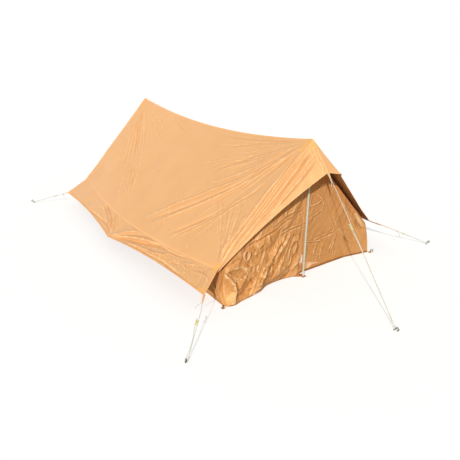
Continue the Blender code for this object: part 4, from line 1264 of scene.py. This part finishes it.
# Inner tent
# Unproofed nylon, thinner and more crumpled than the fly: two roof slopes, two low side walls, a
# rear wall, and a front wall whose middle is a two-leaf door. It hangs inside the fly.
INNER_EAVE_HALF_WIDTH, INNER_EAVE_HEIGHT = 0.672, 0.250
INNER_HEIGHT, INNER_SAG = 0.940, 0.085
WALL_BULGE = 0.010
GAP = 0.0004
GABLE_SPLIT = 2 / 7  # the share of an end wall's rows that are below the eave
FLOOR_TOP = FLOOR_CLOTH + GAP
WALL_TOP = INNER_EAVE_HEIGHT - WALL_CLOTH - GAP
GABLE_TOP, DOOR_TOP, DOOR_LIFT = 0.925, 0.905, 0.0012
INNER_THICKNESS = 0.0006
INNER_COLOUR, INNER_SHADE = "#E4A76A", "#DA9B5B"
# Painted highlight on the crests of the inner tent's folds, and painted shade in their valleys
INNER_CREST_HIGHLIGHT, INNER_VALLEY_SHADE = "#FFDDAE", "#BC793B"
inner_nylon = coated_nylon(
    "plain_nylon_inner", INNER_COLOUR, INNER_SHADE, INNER_CREST_HIGHLIGHT, INNER_VALLEY_SHADE, 0.36, 0.30
)
# The right foot hem, also used at the rear wall's foot, is a darker brown copy of the left one: painted
# shade along the wall's foot
foot_nylon = {
    -1: coated_nylon(
        "doubled_nylon_left_foot", "#DFA468", "#D29354", INNER_CREST_HIGHLIGHT, INNER_VALLEY_SHADE, 0.5, 0.35
    ),
    1: coated_nylon(
        "doubled_nylon_right_foot", "#B97A43", "#A56833", "#CB8F56", "#8A5224", 0.5, 0.35
    ),
}


def wall_x(z, at_end):
    """How far out a side wall stands at height z. at_end is 1 at the end walls, 0 halfway."""
    t = np.clip(z / INNER_EAVE_HEIGHT, 0, 1)
    return lerp(INNER_HALF_WIDTH, INNER_EAVE_HALF_WIDTH, t) + WALL_BULGE * bump(t) * at_end**3


def corner_reach(z):
    return CORNER_REACH * np.clip((WALL_TOP - z) / (WALL_TOP - FLOOR_TOP), 0, 1)


def gable_height(v):
    """Height of the share v of an end wall's rows."""
    return np.where(
        v <= GABLE_SPLIT,
        lerp(FLOOR_TOP, WALL_TOP, v * 3.5),
        lerp(WALL_TOP, GABLE_TOP, (v - GABLE_SPLIT) * 1.4),
    )


def gable_half_width(z):
    slope_x = (
        (INNER_HEIGHT - WALL_CLOTH - GAP - z) / (INNER_HEIGHT - INNER_EAVE_HEIGHT) * INNER_EAVE_HALF_WIDTH
    )
    return np.minimum(slope_x, wall_x(z, 1) - WALL_CLOTH - GAP)


def seam_half_width(z):
    """Half the doorway's width at height z: its seams run up to the peak."""
    return DOOR_HALF_WIDTH * (INNER_HEIGHT - z) / INNER_HEIGHT


# The front wall's folds, in metres across from the zip and up from the floor. The left half is
# slack and full of sharp ones, and the right half hangs nearly smooth.
front_folds = [
    ([(0.00, 0.530), (-0.085, 0.500), (-0.186, 0.474), (-0.280, 0.440), (-0.374, 0.415),
      (-0.483, 0.378), (-0.540, 0.345)], 0.0073, 0.0057),
    ([(0.00, 0.505), (-0.160, 0.468), (-0.258, 0.425), (-0.344, 0.405), (-0.427, 0.378),
      (-0.500, 0.350)], 0.0084, -0.0053),
    ([(-0.017, 0.560), (-0.100, 0.525), (-0.190, 0.505), (-0.250, 0.480), (-0.300, 0.455)], 0.0067, 0.0042),
    ([(0.036, 0.410), (-0.036, 0.403), (-0.115, 0.402), (-0.227, 0.383), (-0.300, 0.350)], 0.0067, 0.0038),
    ([(0.036, 0.398), (-0.036, 0.391), (-0.115, 0.389), (-0.220, 0.371)], 0.0067, -0.0034),
    ([(-0.205, 0.445), (-0.250, 0.415), (-0.275, 0.385)], 0.0078, 0.0050),
    ([(-0.165, 0.388), (-0.209, 0.325), (-0.242, 0.294), (-0.273, 0.251), (-0.291, 0.187),
      (-0.333, 0.154), (-0.378, 0.110), (-0.419, 0.064), (-0.445, 0.013)], 0.0208, 0.0159),
    ([(-0.150, 0.375), (-0.195, 0.305), (-0.232, 0.270), (-0.262, 0.225), (-0.275, 0.165),
      (-0.320, 0.130), (-0.365, 0.085), (-0.400, 0.035)], 0.0191, -0.0145),
    ([(-0.130, 0.370), (-0.170, 0.300), (-0.215, 0.255), (-0.250, 0.205), (-0.262, 0.144)], 0.0157, 0.0114),
    ([(-0.095, 0.370), (-0.135, 0.285), (-0.160, 0.224), (-0.190, 0.170), (-0.235, 0.130)], 0.0101, 0.0053),
    ([(-0.080, 0.350), (-0.115, 0.270), (-0.140, 0.205), (-0.170, 0.150)], 0.0090, -0.0053),
    ([(-0.030, 0.330), (-0.055, 0.240), (-0.088, 0.165), (-0.150, 0.105), (-0.239, 0.064)], 0.0208, 0.0159),
    ([(-0.060, 0.200), (-0.100, 0.130), (-0.164, 0.082), (-0.216, 0.050)], 0.0174, -0.0133),
    ([(0.000, 0.170), (-0.030, 0.110), (-0.085, 0.075), (-0.150, 0.035)], 0.0208, 0.0145),
    ([(-0.255, 0.300), (-0.315, 0.215), (-0.370, 0.175), (-0.404, 0.137)], 0.0157, 0.0107),
    ([(-0.705, 0.237), (-0.645, 0.177), (-0.615, 0.124), (-0.607, 0.084), (-0.633, 0.047),
      (-0.670, 0.030)], 0.0191, 0.0133),
    ([(-0.680, 0.230), (-0.625, 0.177), (-0.592, 0.124), (-0.583, 0.080),
      (-0.605, 0.040)], 0.0208, -0.0133),
    ([(-0.700, 0.225), (-0.618, 0.241), (-0.547, 0.231), (-0.470, 0.190)], 0.0243, 0.0119),
    ([(-0.440, 0.120), (-0.500, 0.075), (-0.540, 0.040), (-0.630, 0.030)], 0.0381, -0.0186),
    ([(-0.300, 0.140), (-0.345, 0.100), (-0.400, 0.045), (-0.517, 0.022)], 0.0226, 0.0145),
    ([(-0.750, 0.120), (-0.731, 0.200), (-0.705, 0.245)], 0.0112, 0.0046),
    ([(-0.690, 0.020), (-0.607, 0.015), (-0.500, 0.012), (-0.397, 0.018)], 0.0157, 0.0107),
    ([(-0.300, 0.360), (-0.370, 0.320), (-0.445, 0.290), (-0.480, 0.240)], 0.0123, 0.0042),
    ([(-0.310, 0.375), (-0.370, 0.360), (-0.440, 0.330)], 0.0315, 0.0119),
    ([(-0.517, 0.160), (-0.558, 0.110), (-0.585, 0.080)], 0.0090, 0.0046),
    ([(-0.400, 0.110), (-0.461, 0.067), (-0.524, 0.050)], 0.0090, 0.0053),
    ([(-0.480, 0.230), (-0.520, 0.180), (-0.560, 0.150)], 0.0112, -0.0053),
    ([(-0.550, 0.300), (-0.600, 0.280), (-0.670, 0.255)], 0.0101, -0.0046),
    ([(0.020, 0.251), (0.070, 0.240), (0.118, 0.230), (0.215, 0.214)], 0.0056, 0.0038),
    ([(0.020, 0.243), (0.118, 0.221), (0.201, 0.206)], 0.0067, -0.0026),
    ([(0.120, 0.236), (0.150, 0.248), (0.194, 0.254), (0.265, 0.263), (0.345, 0.272)], 0.0067, 0.0046),
    ([(0.140, 0.232), (0.194, 0.242), (0.265, 0.250), (0.340, 0.258)], 0.0078, -0.0038),
    ([(0.020, 0.404), (0.050, 0.421), (0.077, 0.435), (0.141, 0.455), (0.181, 0.478)], 0.0067, 0.0038),
    ([(0.024, 0.388), (0.070, 0.411), (0.105, 0.425)], 0.0067, 0.0026),
    ([(0.321, 0.110), (0.336, 0.177), (0.355, 0.254)], 0.0112, 0.0046),
    ([(0.285, 0.090), (0.318, 0.174), (0.350, 0.242)], 0.0101, 0.0042),
    ([(0.305, 0.100), (0.328, 0.170), (0.352, 0.248)], 0.0078, -0.0038),
    ([(0.085, 0.440), (0.052, 0.385), (0.050, 0.330), (0.075, 0.275)], 0.0146, 0.0038),
    ([(0.058, 0.241), (0.048, 0.187), (0.055, 0.120)], 0.0101, 0.0042),
    ([(0.165, 0.220), (0.141, 0.164), (0.132, 0.110)], 0.0112, 0.0046),
    ([(0.230, 0.190), (0.209, 0.151), (0.215, 0.090)], 0.0112, 0.0050),
    ([(0.045, 0.525), (0.100, 0.520), (0.141, 0.532), (0.175, 0.550)], 0.0067, 0.0030),
    ([(0.052, 0.640), (0.060, 0.575), (0.050, 0.525)], 0.0067, 0.0030),
    ([(0.115, 0.600), (0.160, 0.555), (0.197, 0.492)], 0.0101, 0.0034),
    ([(0.255, 0.600), (0.340, 0.490), (0.450, 0.345), (0.560, 0.205), (0.664, 0.067)], 0.0203, -0.0038),
    ([(0.310, 0.560), (0.400, 0.455), (0.480, 0.345), (0.580, 0.200), (0.660, 0.074)], 0.0190, 0.0053),
    ([(0.400, 0.500), (0.517, 0.355), (0.622, 0.190)], 0.0179, -0.0034),
    ([(0.355, 0.281), (0.468, 0.177), (0.618, 0.050)], 0.0067, 0.0023),
    ([(0.360, 0.268), (0.457, 0.258), (0.547, 0.231)], 0.0067, 0.0019),
]
front_folds += scatter(34, (-0.66, 0.04), (-0.02, 0.50), 52, 0.08, 0.010, 0.0030, 201)
front_folds += scatter(20, (-0.60, 0.03), (-0.05, 0.22), 50, 0.13, 0.020, 0.0090, 202)
front_folds += scatter(34, (0.03, 0.05), (0.38, 0.28), 80, 0.05, 0.008, 0.0030, 203)
front_folds += scatter(26, (0.03, 0.30), (0.25, 0.75), 70, 0.05, 0.008, 0.0022, 204)
front_folds += scatter(40, (-0.30, 0.50), (0.0, 0.85), 70, 0.06, 0.008, 0.0028, 205)


def front_relief(x, z):
    """How far the front wall's folds stand out, fading out at its edges and at the zip."""
    flat = np.stack([x, z], -1)
    left = np.clip(0.5 - x / 0.06, 0, 1)
    at_corner = fade(np.abs(x) - 0.52, 0.08)
    soft = lerp(0.0022, 0.0150, left) * facets(flat, 0.17, 52, 211)
    soft = soft + lerp(0.0007, 0.0022, left) * facets(flat, 0.075, 60, 221)
    soft = soft * (1 - 0.7 * at_corner * left) + 0.0030 * ripple(flat, 0.35, 231)
    relief = fold_height(flat, front_folds) + soft
    at_edge = fade(gable_half_width(z) - np.abs(x), 0.020)
    at_zip = fade(np.abs(x), 0.030) * 0.85 + 0.15
    at_seam = np.clip(np.abs(np.abs(x) - seam_half_width(z)) / 0.016, 0, 1)
    at_foot = fade(z - FLOOR_TOP, 0.012)
    at_top = fade(GABLE_TOP - z, 0.06)
    return relief * at_edge * at_zip * at_seam * at_foot * at_top


CORNER_TOP = 0.240
CORNER_LEAST, CORNER_GROWTH, CORNER_ROUNDING = 0.004, 0.092, 0.38
CORNER_SOFTENING = np.linspace(-0.16, 0.16, 7)  # shares of the corner piece's width


def corner_width(z):
    """Width of the smooth piece of cloth at the front left corner, which is turned to the side."""
    rise = np.clip(z / CORNER_TOP, 0, 1)
    return CORNER_LEAST + CORNER_GROWTH * np.sin(math.pi * rise**0.75)


def corner_round(z, side):
    """How far the front left corner is rounded back between the eave and the corner peg."""
    return CORNER_ROUNDING * (corner_width(z) - CORNER_LEAST) * (side < 0)


def front_plane(x, z, side):
    """The front wall's outer face without its folds: straight lines at the zip, seams and corners."""
    seam_x, edge_x = seam_half_width(z), gable_half_width(z)
    rise = np.clip(1 - z / INNER_HEIGHT, 0, 1)
    zip_line, seam_line = ZIP_REACH * rise, DOOR_REACH[side] * rise
    in_leaf = np.clip(np.abs(x) / seam_x, 0, 1)
    in_panel = np.clip((np.abs(x) - seam_x) / (edge_x - seam_x), 0, 1)
    reach = lerp(lerp(zip_line, seam_line, in_leaf), corner_reach(z), in_panel)
    reach = reach + foot_wave(x) * np.clip(1 - (z - FLOOR_TOP) / 0.16, 0, 1) ** 2
    from_corner = (edge_x - np.abs(x)) / corner_width(z)
    turned_back = sum(
        np.interp(from_corner + offset, (0, 1.0, 1.7), (-1, 0.45, 0)) for offset in CORNER_SOFTENING
    ) / len(CORNER_SOFTENING)
    turned_back = turned_back + (-1 - turned_back) * np.clip(1 - from_corner / 0.2, 0, 1)
    return -(WALL_Y - GAP + WALL_CLOTH + reach + turned_back * corner_round(z, side))


def leaf_shape(side):
    def shape(u, v):
        z = lerp(FLOOR_TOP + DOOR_LIFT, DOOR_TOP, v)
        x = side * lerp(GAP, seam_half_width(z) - GAP / 2, u)
        return np.stack([x, front_plane(x, z, side) - front_relief(x, z), z], -1)

    return shape


def lap(z):
    """How far an end wall laps the end of a side wall, below the eave."""
    return (WALL_CLOTH + 2 * GAP) * fade(WALL_TOP - z, 0.004)


def panel_shape(side):
    def shape(u, v):
        z = gable_height(v)
        x = side * lerp(seam_half_width(z) + GAP / 2, gable_half_width(z) + lap(z), u)
        return np.stack([x, front_plane(x, z, side) - front_relief(x, z), z], -1)

    return shape


wall_folds = scatter(60, (-0.6, 0.03), (0.6, 0.60), 85, 0.16, 0.012, 0.0050, 241)


def rear_shape(u, v):
    z = gable_height(v)
    across = lerp(-1, 1, u)
    x = across * (gable_half_width(z) + lap(z))
    flat = np.stack([x, z], -1)
    relief = 0.0040 * facets(flat, 0.16, 80, 251) + 0.0030 * ripple(flat, 0.3, 261)
    relief = relief + fold_height(flat, wall_folds)
    relief = relief * fade(1 - np.abs(across), 0.05)
    relief = relief * fade(v, 0.03) * fade(1 - v, 0.08)
    reach = corner_reach(z) * np.abs(across) ** REAR_SCALLOP
    return np.stack([x, WALL_Y - GAP + WALL_CLOTH + reach + relief, z], -1)


def side_wall_shape(side):
    folds = scatter(50, (0.1, 0.0), (2.4, 0.15), 80, 0.12, 0.012, 0.0055, 270 + side)
    folds += fan((0.0, 0.0), 45, 30, 8, 0.02, 0.35, 0.010, 0.005, 273 + side)
    folds += fan((2.425, 0.0), 135, 30, 8, 0.02, 0.35, 0.010, 0.005, 276 + side)

    def shape(s, v):
        z = lerp(FLOOR_TOP, WALL_TOP, v)
        reach = WALL_Y + corner_reach(z) + WALL_CLOTH - 2 * GAP
        y = lerp(-1, 1, s) * reach + np.clip(1 - s / 0.06, 0, 1) * corner_round(z, side)
        flat = np.stack([s * 2 * WALL_Y, v * INNER_EAVE_HEIGHT], -1)
        relief = fold_height(flat, folds) + 0.003 * facets(flat, 0.14, 80, 280 + side)
        relief = relief * fade(v, 0.08) * fade(1 - v, 0.1)
        relief = relief * fade(s, 0.01) * fade(1 - s, 0.01)
        return np.stack([side * (wall_x(z, np.abs(2 * s - 1)) + relief), y, z], -1)

    return shape


def inner_roof_shape(side):
    folds = fan((0.0, 0.0), 40, 35, 14, 0.10, 1.0, 0.012, 0.0030, 290 + side)
    folds += fan((2.425, 0.0), 140, 35, 14, 0.10, 1.0, 0.012, 0.0030, 293 + side)
    slope = np.array([side, 0, 1]) / math.sqrt(2)

    def shape(s, v):
        ridge = INNER_HEIGHT - INNER_SAG * bump(s)
        flat = np.stack([s * 2 * WALL_Y, v * 0.96], -1)
        relief = -np.abs(fold_height(flat, folds)) - 0.002 * (1 + ripple(flat, 0.3, 296 + side))
        relief = relief * fade(v, 0.05) * fade(1 - v, 0.05)
        relief = relief * fade(s, 0.02) * fade(1 - s, 0.02)
        base = np.stack(
            [
                side * (INNER_EAVE_HALF_WIDTH * v + GAP / 2),
                lerp(-1, 1, s) * (WALL_Y + WALL_CLOTH),
                lerp(ridge, INNER_EAVE_HEIGHT, v),
            ],
            -1,
        )
        return base + slope * relief[..., None]

    return shape


FOOT_HEM = 0.014
WALL_FOOT = ((0, 1), (0, FOOT_HEM / WALL_TOP * GABLE_SPLIT))
inner_roof_size = (2 * WALL_Y, math.hypot(INNER_EAVE_HALF_WIDTH, INNER_HEIGHT - INNER_EAVE_HEIGHT))
wall_size = (2 * (WALL_Y + CORNER_REACH / 2), WALL_TOP)
leaf_size, leaf_area = (DOOR_HALF_WIDTH, DOOR_TOP), 0.5 * DOOR_HALF_WIDTH * INNER_HEIGHT
panel_size = (INNER_HALF_WIDTH - DOOR_HALF_WIDTH, 1.06)
rear_size = (2 * INNER_HALF_WIDTH, GABLE_TOP)
AHEAD = (0, -1, 0)
for side_name, side in SIDES.items():
    across = (side, 0, 0)
    inner_roof = add_piece(
        cloth_piece(
            inner_roof_shape(side), 120, 60, inner_roof_size, (side, 0, 1),
            thickness=INNER_THICKNESS,
        ),
        f"inner_slope_{side_name}", inner_nylon, "root", [f"inner_roof_{side_name}"],
    )
    wall = side_wall_shape(side)
    side_wall = add_piece(
        cloth_piece(wall, 260, 34, wall_size, across, thickness=INNER_THICKNESS),
        f"inner_wall_{side_name}_cloth", inner_nylon, "root",
        [f"inner_wall_{side_name}"],
    )
    wall_foot = ("inner_wall_foot", 260, 4, ((0, 1), (0, FOOT_HEM / WALL_TOP)), foot_nylon[side])
    sew_on(wall, wall_size, across, f"_{side_name}", [wall_foot])
    panel, leaf = panel_shape(side), leaf_shape(side)
    front_panel = add_piece(
        cloth_piece(panel, 70, 250, panel_size, AHEAD, thickness=INNER_THICKNESS),
        f"inner_front_{side_name}_cloth", inner_nylon, "root",
        [f"inner_front_{side_name}"],
    )
    panel_seams = (
        ("front_panel_foot", 60, 4, WALL_FOOT, foot_nylon[side]),
        ("door_frame_seam", 4, 220, ((0, 0.05), (0, 1)), inner_nylon),
    )
    sew_on(panel, panel_size, AHEAD, f"_{side_name}", panel_seams)
    door_leaf = add_piece(
        cloth_piece(leaf, 150, 250, leaf_size, AHEAD, thickness=INNER_THICKNESS),
        f"door_leaf_{side_name}", inner_nylon, f"{side_name}_door",
        [f"door_{side_name}"],
    )
    leaf_seams = (
        ("door_foot", 130, 4, ((0, 1), (0, FOOT_HEM / DOOR_TOP)), foot_nylon[side]),
        ("door_seam", 4, 220, ((0.975, 1), (0, 1)), inner_nylon),
    )
    sew_on(
            leaf, leaf_size, AHEAD, f"_{side_name}", leaf_seams, body=f"{side_name}_door"
        )
rear_wall = add_piece(
    cloth_piece(rear_shape, 220, 190, rear_size, (0, 1, 0), thickness=INNER_THICKNESS),
    "inner_rear_cloth", inner_nylon, "root", ["inner_rear_wall"],
)
rear_seams = (
    ("rear_wall_foot", 200, 4, WALL_FOOT, foot_nylon[1]),
    ("rear_wall_middle_seam", 4, 180, ((0.494, 0.506), (0, 0.9)), inner_nylon),
)
sew_on(rear_shape, rear_size, (0, 1, 0), "", rear_seams)

# Door zip
# A nylon coil zip on tan tape, sewn down the free edges of both leaves, with one nickel-plated
# slider and its pull tab. The tape ends in a white cotton tab above the pole's foot.
ZIP_TAPE = 0.009
ZIP_SLIDER_WIDTH, ZIP_SLIDER_DEPTH, ZIP_SLIDER_LENGTH = 0.010, 0.004, 0.014
ZIP_TOP = 0.86
PULL_RADIUS, PULL_THICKNESS, PULL_LENGTH = 0.0032, 0.0016, 0.022
PULL_HOLE_RADIUS, PULL_HOLE_DROP = 0.0014, 0.020
for side_name, side in SIDES.items():
    leaf = leaf_shape(side)

    def beside_zip(u, v):
        """The same width of cloth beside the zip at every height, up to where the leaf is narrow."""
        return leaf(u * (DOOR_HALF_WIDTH / np.maximum(seam_half_width(v * DOOR_TOP), 0.03)), v)

    tape = cloth_piece(
        beside_zip, 4, 200, leaf_size, AHEAD,
        ((0.003, ZIP_TAPE / DOOR_HALF_WIDTH), (0.004, ZIP_TOP)), SEAM_LIFT, SEAM_LIFT,
    )
    add_piece(tape, f"zip_tape_{side_name}", tan_webbing, f"{side_name}_door")

# Nickel-plated zinc: bright, with fine scratches in its gloss
nickel_plate, tree, output = new_material("nickel_plated_zinc")
place = node(tree, "ShaderNodeTexCoord")
scratches = node(
    tree, "ShaderNodeTexNoise", {"Scale": 700, "Detail": 4, "Distortion": 1.5},
    {"Vector": place.outputs["Object"]},
)
gloss = node(tree, "ShaderNodeMapRange", {"To Min": 0.2, "To Max": 0.45}, {0: scratches.outputs["Fac"]})
shader = node(
    tree, "ShaderNodeBsdfPrincipled", {"Base Color": linear("#B9B6AC"), "Metallic": 1.0},
    {"Roughness": gloss.outputs["Result"]},
)
tree.links.new(shader.outputs["BSDF"], output.inputs["Surface"])

UPRIGHT = (math.pi / 2, 0, 0)  # turns a flat disc to face ahead
slider_low, slider_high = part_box("zip_slider")
middle = (slider_low + slider_high) / 2
bpy.ops.mesh.primitive_cube_add(size=1)
slider = bpy.context.object
slider.scale = (ZIP_SLIDER_WIDTH, ZIP_SLIDER_DEPTH, ZIP_SLIDER_LENGTH)
bpy.ops.object.transform_apply(scale=True)
bpy.ops.object.mode_set(mode="EDIT")
bpy.ops.mesh.select_all(action="DESELECT")
bpy.ops.object.mode_set(mode="OBJECT")
for face in slider.data.polygons:
    face.select = face.normal.z < -0.9
bpy.ops.object.mode_set(mode="EDIT")
bpy.ops.transform.resize(value=(0.7, 1, 1))
bpy.ops.object.mode_set(mode="OBJECT")
apply_modifier(slider, "BEVEL", width=0.0011, segments=3)
top_z = slider_high.z - ZIP_SLIDER_LENGTH / 2
slider.location = (middle.x, slider_high.y - ZIP_SLIDER_DEPTH / 2 - 0.0003, top_z)
select_only(slider)
bpy.ops.object.transform_apply(location=True)
smooth(slider, 35)
add_piece(slider, "zip_slider_body", nickel_plate, "zip", ["zip_slider"])
bpy.ops.mesh.primitive_cylinder_add(
    vertices=32, radius=PULL_RADIUS, depth=PULL_THICKNESS, rotation=UPRIGHT
)
pull = bpy.context.object
bpy.ops.object.transform_apply(rotation=True)
for vert in pull.data.vertices:
    if vert.co.z < 0:
        vert.co.z -= PULL_LENGTH
apply_modifier(pull, "BEVEL", width=0.0004, segments=2, limit_method="ANGLE")
bpy.ops.mesh.primitive_cylinder_add(
    vertices=24, radius=PULL_HOLE_RADIUS, depth=0.01, rotation=UPRIGHT,
    location=(0, 0, -PULL_HOLE_DROP),
)
cut(pull, bpy.context.object)
pull.location = (middle.x, slider_low.y + 0.0009, slider_low.z + 0.0265)
select_only(pull)
bpy.ops.object.transform_apply(location=True)
smooth(pull, 35)
add_piece(pull, "zip_pull", nickel_plate, "zip")

# Door ties
# Loops of tan tape sewn to the front wall beside the door, which hold a rolled-back leaf. The
# left one stands open as a ring, and the right one hangs flat and aslant.
TIE_WIDTH, TIE_THICKNESS = 0.016, 0.0014
RING_HALF = (0.022, 0.034)
low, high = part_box("door_tie_left")
ring_middle = Vector(((low.x + high.x) / 2 - 0.004, high.y - 0.021, (low.z + high.z) / 2 + 0.034))
ring = [
    ring_middle
    + Vector((RING_HALF[0] * math.sin(a) * (1 + 0.2 * math.cos(a)), 0, RING_HALF[1] * math.cos(a)))
    for a in np.linspace(0.12, 2 * math.pi - 0.12, 40)
]
ring_across = Vector((0.45, -0.85, 0.1)).normalized()
add_piece(
    band(ring, [TIE_WIDTH] * len(ring), ring_across, TIE_THICKNESS, AHEAD),
    "door_tie_tape_left", tie_tape, "root", ["door_tie_left"],
)
low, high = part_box("door_tie_right")
strap = smooth_path(
    [
        (low.x - 0.030, high.y - 0.002, high.z + 0.030), (low.x - 0.012, high.y - 0.004, high.z - 0.005),
        ((low.x + high.x) / 2 + 0.010, high.y - 0.014, (low.z + high.z) / 2),
        (high.x + 0.030, high.y - 0.018, low.z + 0.022), (high.x + 0.036, high.y - 0.022, low.z + 0.018),
        (high.x + 0.030, high.y - 0.026, low.z + 0.024),
        ((low.x + high.x) / 2 + 0.012, high.y - 0.022, (low.z + high.z) / 2 + 0.006),
        (low.x - 0.010, high.y - 0.009, high.z - 0.002), (low.x - 0.028, high.y - 0.005, high.z + 0.026),
    ],
    5,
)
strap_across = Vector((0.80, -0.25, 0.50)).normalized()
add_piece(
    band(strap, [TIE_WIDTH * 1.3] * len(strap), strap_across, TIE_THICKNESS, AHEAD),
    "door_tie_tape_right", tie_tape, "root", ["door_tie_right"],
)

# Pole foot trim
# A white cotton tab at the zip's end, a tongue of thin cloth that lies on the ground from the left
# leaf to the pole's foot, a brass eyelet in the left leaf's foot and a flap on the right leaf.
FLAP_COLOUR, FLAP_SHADE = "#F3C293", "#E9B07A"
FLAP_SIZE, TRIM_THICKNESS = (0.155, 0.045), 0.0008
TONGUE_FROM, TONGUE_TO, TONGUE_SIZE = -0.125, 0.006, (0.13, 0.05)
EYELET_RADIUS, EYELET_ROLL = 0.0085, 0.0028
# Paler than the wall's nylon; its last two colours are a painted highlight on the crests and painted shade
# in the valleys
flap_nylon = coated_nylon(
    "worn_nylon_flap", FLAP_COLOUR, FLAP_SHADE, "#FBD9B0", "#D79A63", 0.45, 0.3
)
white_cotton = woven_tape("white_cotton_tape", "#FFFFFF", "#EFEFEA")
wall_face = -(WALL_Y + WALL_CLOTH + ZIP_REACH)
tab_path = smooth_path(
    [
        (0.016, wall_face - 0.004, 0.152), (0.012, wall_face - 0.009, 0.120),
        (0.003, wall_face - 0.010, 0.092),
    ],
    6,
)
add_piece(
    band(tab_path, np.linspace(0.004, 0.024, len(tab_path)), (1, 0, 0), 0.001, AHEAD),
    "zip_end_tab", white_cotton, "left_door",
)


def tongue_shape(s, v):
    """A flat triangle from the foot of the left leaf to the front of the pole's foot."""
    x = lerp(TONGUE_FROM, TONGUE_TO, s)
    back = -(WALL_Y + WALL_CLOTH + foot_reach(-1, x)) + 0.004
    front_x = (TONGUE_FROM, -0.075, -0.030, TONGUE_TO)
    front = np.interp(x, front_x, (back.min(), -1.203, -1.236, -1.252))
    y = lerp(back, np.minimum(front, back - 0.001), v)
    return np.stack([x, y, 0.0030 - 0.0022 * v], -1)


add_piece(
    cloth_piece(tongue_shape, 40, 16, TONGUE_SIZE, (0, 0, 1), thickness=TRIM_THICKNESS),
    "floor_tongue", inner_nylon, "root",
)


def flap_shape(s, v):
    """Hangs from its top edge on the right leaf, and its lower edge stands out."""
    x = lerp(0.018, 0.170, s)
    top = np.interp(s, (0, 0.4, 1), (0.088, 0.074, 0.052))
    low = np.interp(s, (0, 0.3, 0.55, 1), (0.040, 0.033, 0.045, 0.048))
    z = lerp(top, low, v)
    stands_out = 0.004 + 0.020 * np.sin(v * math.pi / 2) * (1 - 0.5 * s) + 0.003 * np.sin(11 * s + 3 * v)
    return np.stack([x, front_plane(x, z, 1) - stands_out, z], -1)


door_flap = add_piece(
    cloth_piece(flap_shape, 60, 16, FLAP_SIZE, (0, -1, 0.3), thickness=TRIM_THICKNESS),
    "door_foot_flap", flap_nylon, "right_door",
)

# Brass eyelet: pressed from thin sheet and dulled, with a fine grain of tarnish
dull_brass, tree, output = new_material("pressed_dull_brass")
place = node(tree, "ShaderNodeTexCoord")
tarnish = node(tree, "ShaderNodeTexNoise", {"Scale": 300, "Detail": 4}, {"Vector": place.outputs["Object"]})
tone = node(
    tree, "ShaderNodeMix", {"data_type": "RGBA", 6: linear("#E9DDB8"), 7: linear("#BBA878")},
    {0: tarnish.outputs["Fac"]},
)
shader = node(
    tree, "ShaderNodeBsdfPrincipled", {"Metallic": 0.6, "Roughness": 0.4}, {"Base Color": tone.outputs[2]}
)
tree.links.new(shader.outputs["BSDF"], output.inputs["Surface"])
bpy.ops.object.select_all(action="DESELECT")
bpy.ops.mesh.primitive_torus_add(
    major_segments=40, minor_segments=12, major_radius=EYELET_RADIUS, minor_radius=EYELET_ROLL,
    rotation=UPRIGHT,
)
eyelet = bpy.context.object
bpy.ops.object.transform_apply(rotation=True)
for vert in eyelet.data.vertices:
    vert.co.y *= 0.5
eyelet.location = (-0.030, wall_face - 0.004, 0.020)
bpy.ops.object.transform_apply(location=True)
smooth(eyelet, 60)
add_piece(eyelet, "door_foot_eyelet", dull_brass, "left_door")

# Floor
# A paler floor that keeps a soft shadow, and a white background
FLOOR_SIZE = 60
floor_material, tree, output = new_material("studio_floor")
paths = node(tree, "ShaderNodeLightPath")
lit = node(tree, "ShaderNodeBsdfDiffuse", {"Color": (0.62, 0.62, 0.62, 1)})
bounce = node(tree, "ShaderNodeBsdfDiffuse", {"Color": (0.42, 0.36, 0.28, 1)})
white = node(tree, "ShaderNodeEmission", {"Color": (1, 1, 1, 1), "Strength": 0.53})
seen = node(tree, "ShaderNodeAddShader", {}, {0: lit.outputs[0], 1: white.outputs[0]})
mixed = node(
    tree, "ShaderNodeMixShader", {},
    {0: paths.outputs["Is Camera Ray"], 1: bounce.outputs[0], 2: seen.outputs[0]},
)
tree.links.new(mixed.outputs[0], output.inputs["Surface"])
bpy.ops.mesh.primitive_plane_add(size=FLOOR_SIZE, location=(0, 0, -0.0005))
floor = bpy.context.object
floor.name = "studio_floor"
floor.data.materials.append(floor_material)

world = bpy.data.worlds.new("studio")
bpy.context.scene.world = world
world.use_nodes = True
tree = world.node_tree
tree.nodes.clear()
paths = node(tree, "ShaderNodeLightPath")
fill = node(tree, "ShaderNodeBackground", {"Color": (1, 0.97, 0.92, 1), "Strength": 0.40})
backdrop = node(tree, "ShaderNodeBackground", {"Color": (1, 1, 1, 1), "Strength": 1.0})
direct = paths.outputs["Is Camera Ray"]
for kind in ("Is Glossy Ray", "Is Transmission Ray"):
    either = node(
        tree, "ShaderNodeMath", {"operation": "MAXIMUM"}, {0: direct, 1: paths.outputs[kind]}
    )
    direct = either.outputs[0]
sky = node(
    tree, "ShaderNodeMixShader", {}, {0: direct, 1: fill.outputs[0], 2: backdrop.outputs[0]}
)
tree.links.new(sky.outputs[0], node(tree, "ShaderNodeOutputWorld").inputs["Surface"])

SUN_FROM = Vector((-0.735, -0.678, 0.559))
bpy.ops.object.light_add(type="SUN", rotation=SUN_FROM.to_track_quat("Z", "Y").to_euler())
sun = bpy.context.object.data
sun.energy = 2.65
sun.angle = math.radians(1.5)
sun.color = (1.0, 0.985, 0.96)

bpy.context.scene.view_settings.view_transform = "Standard"
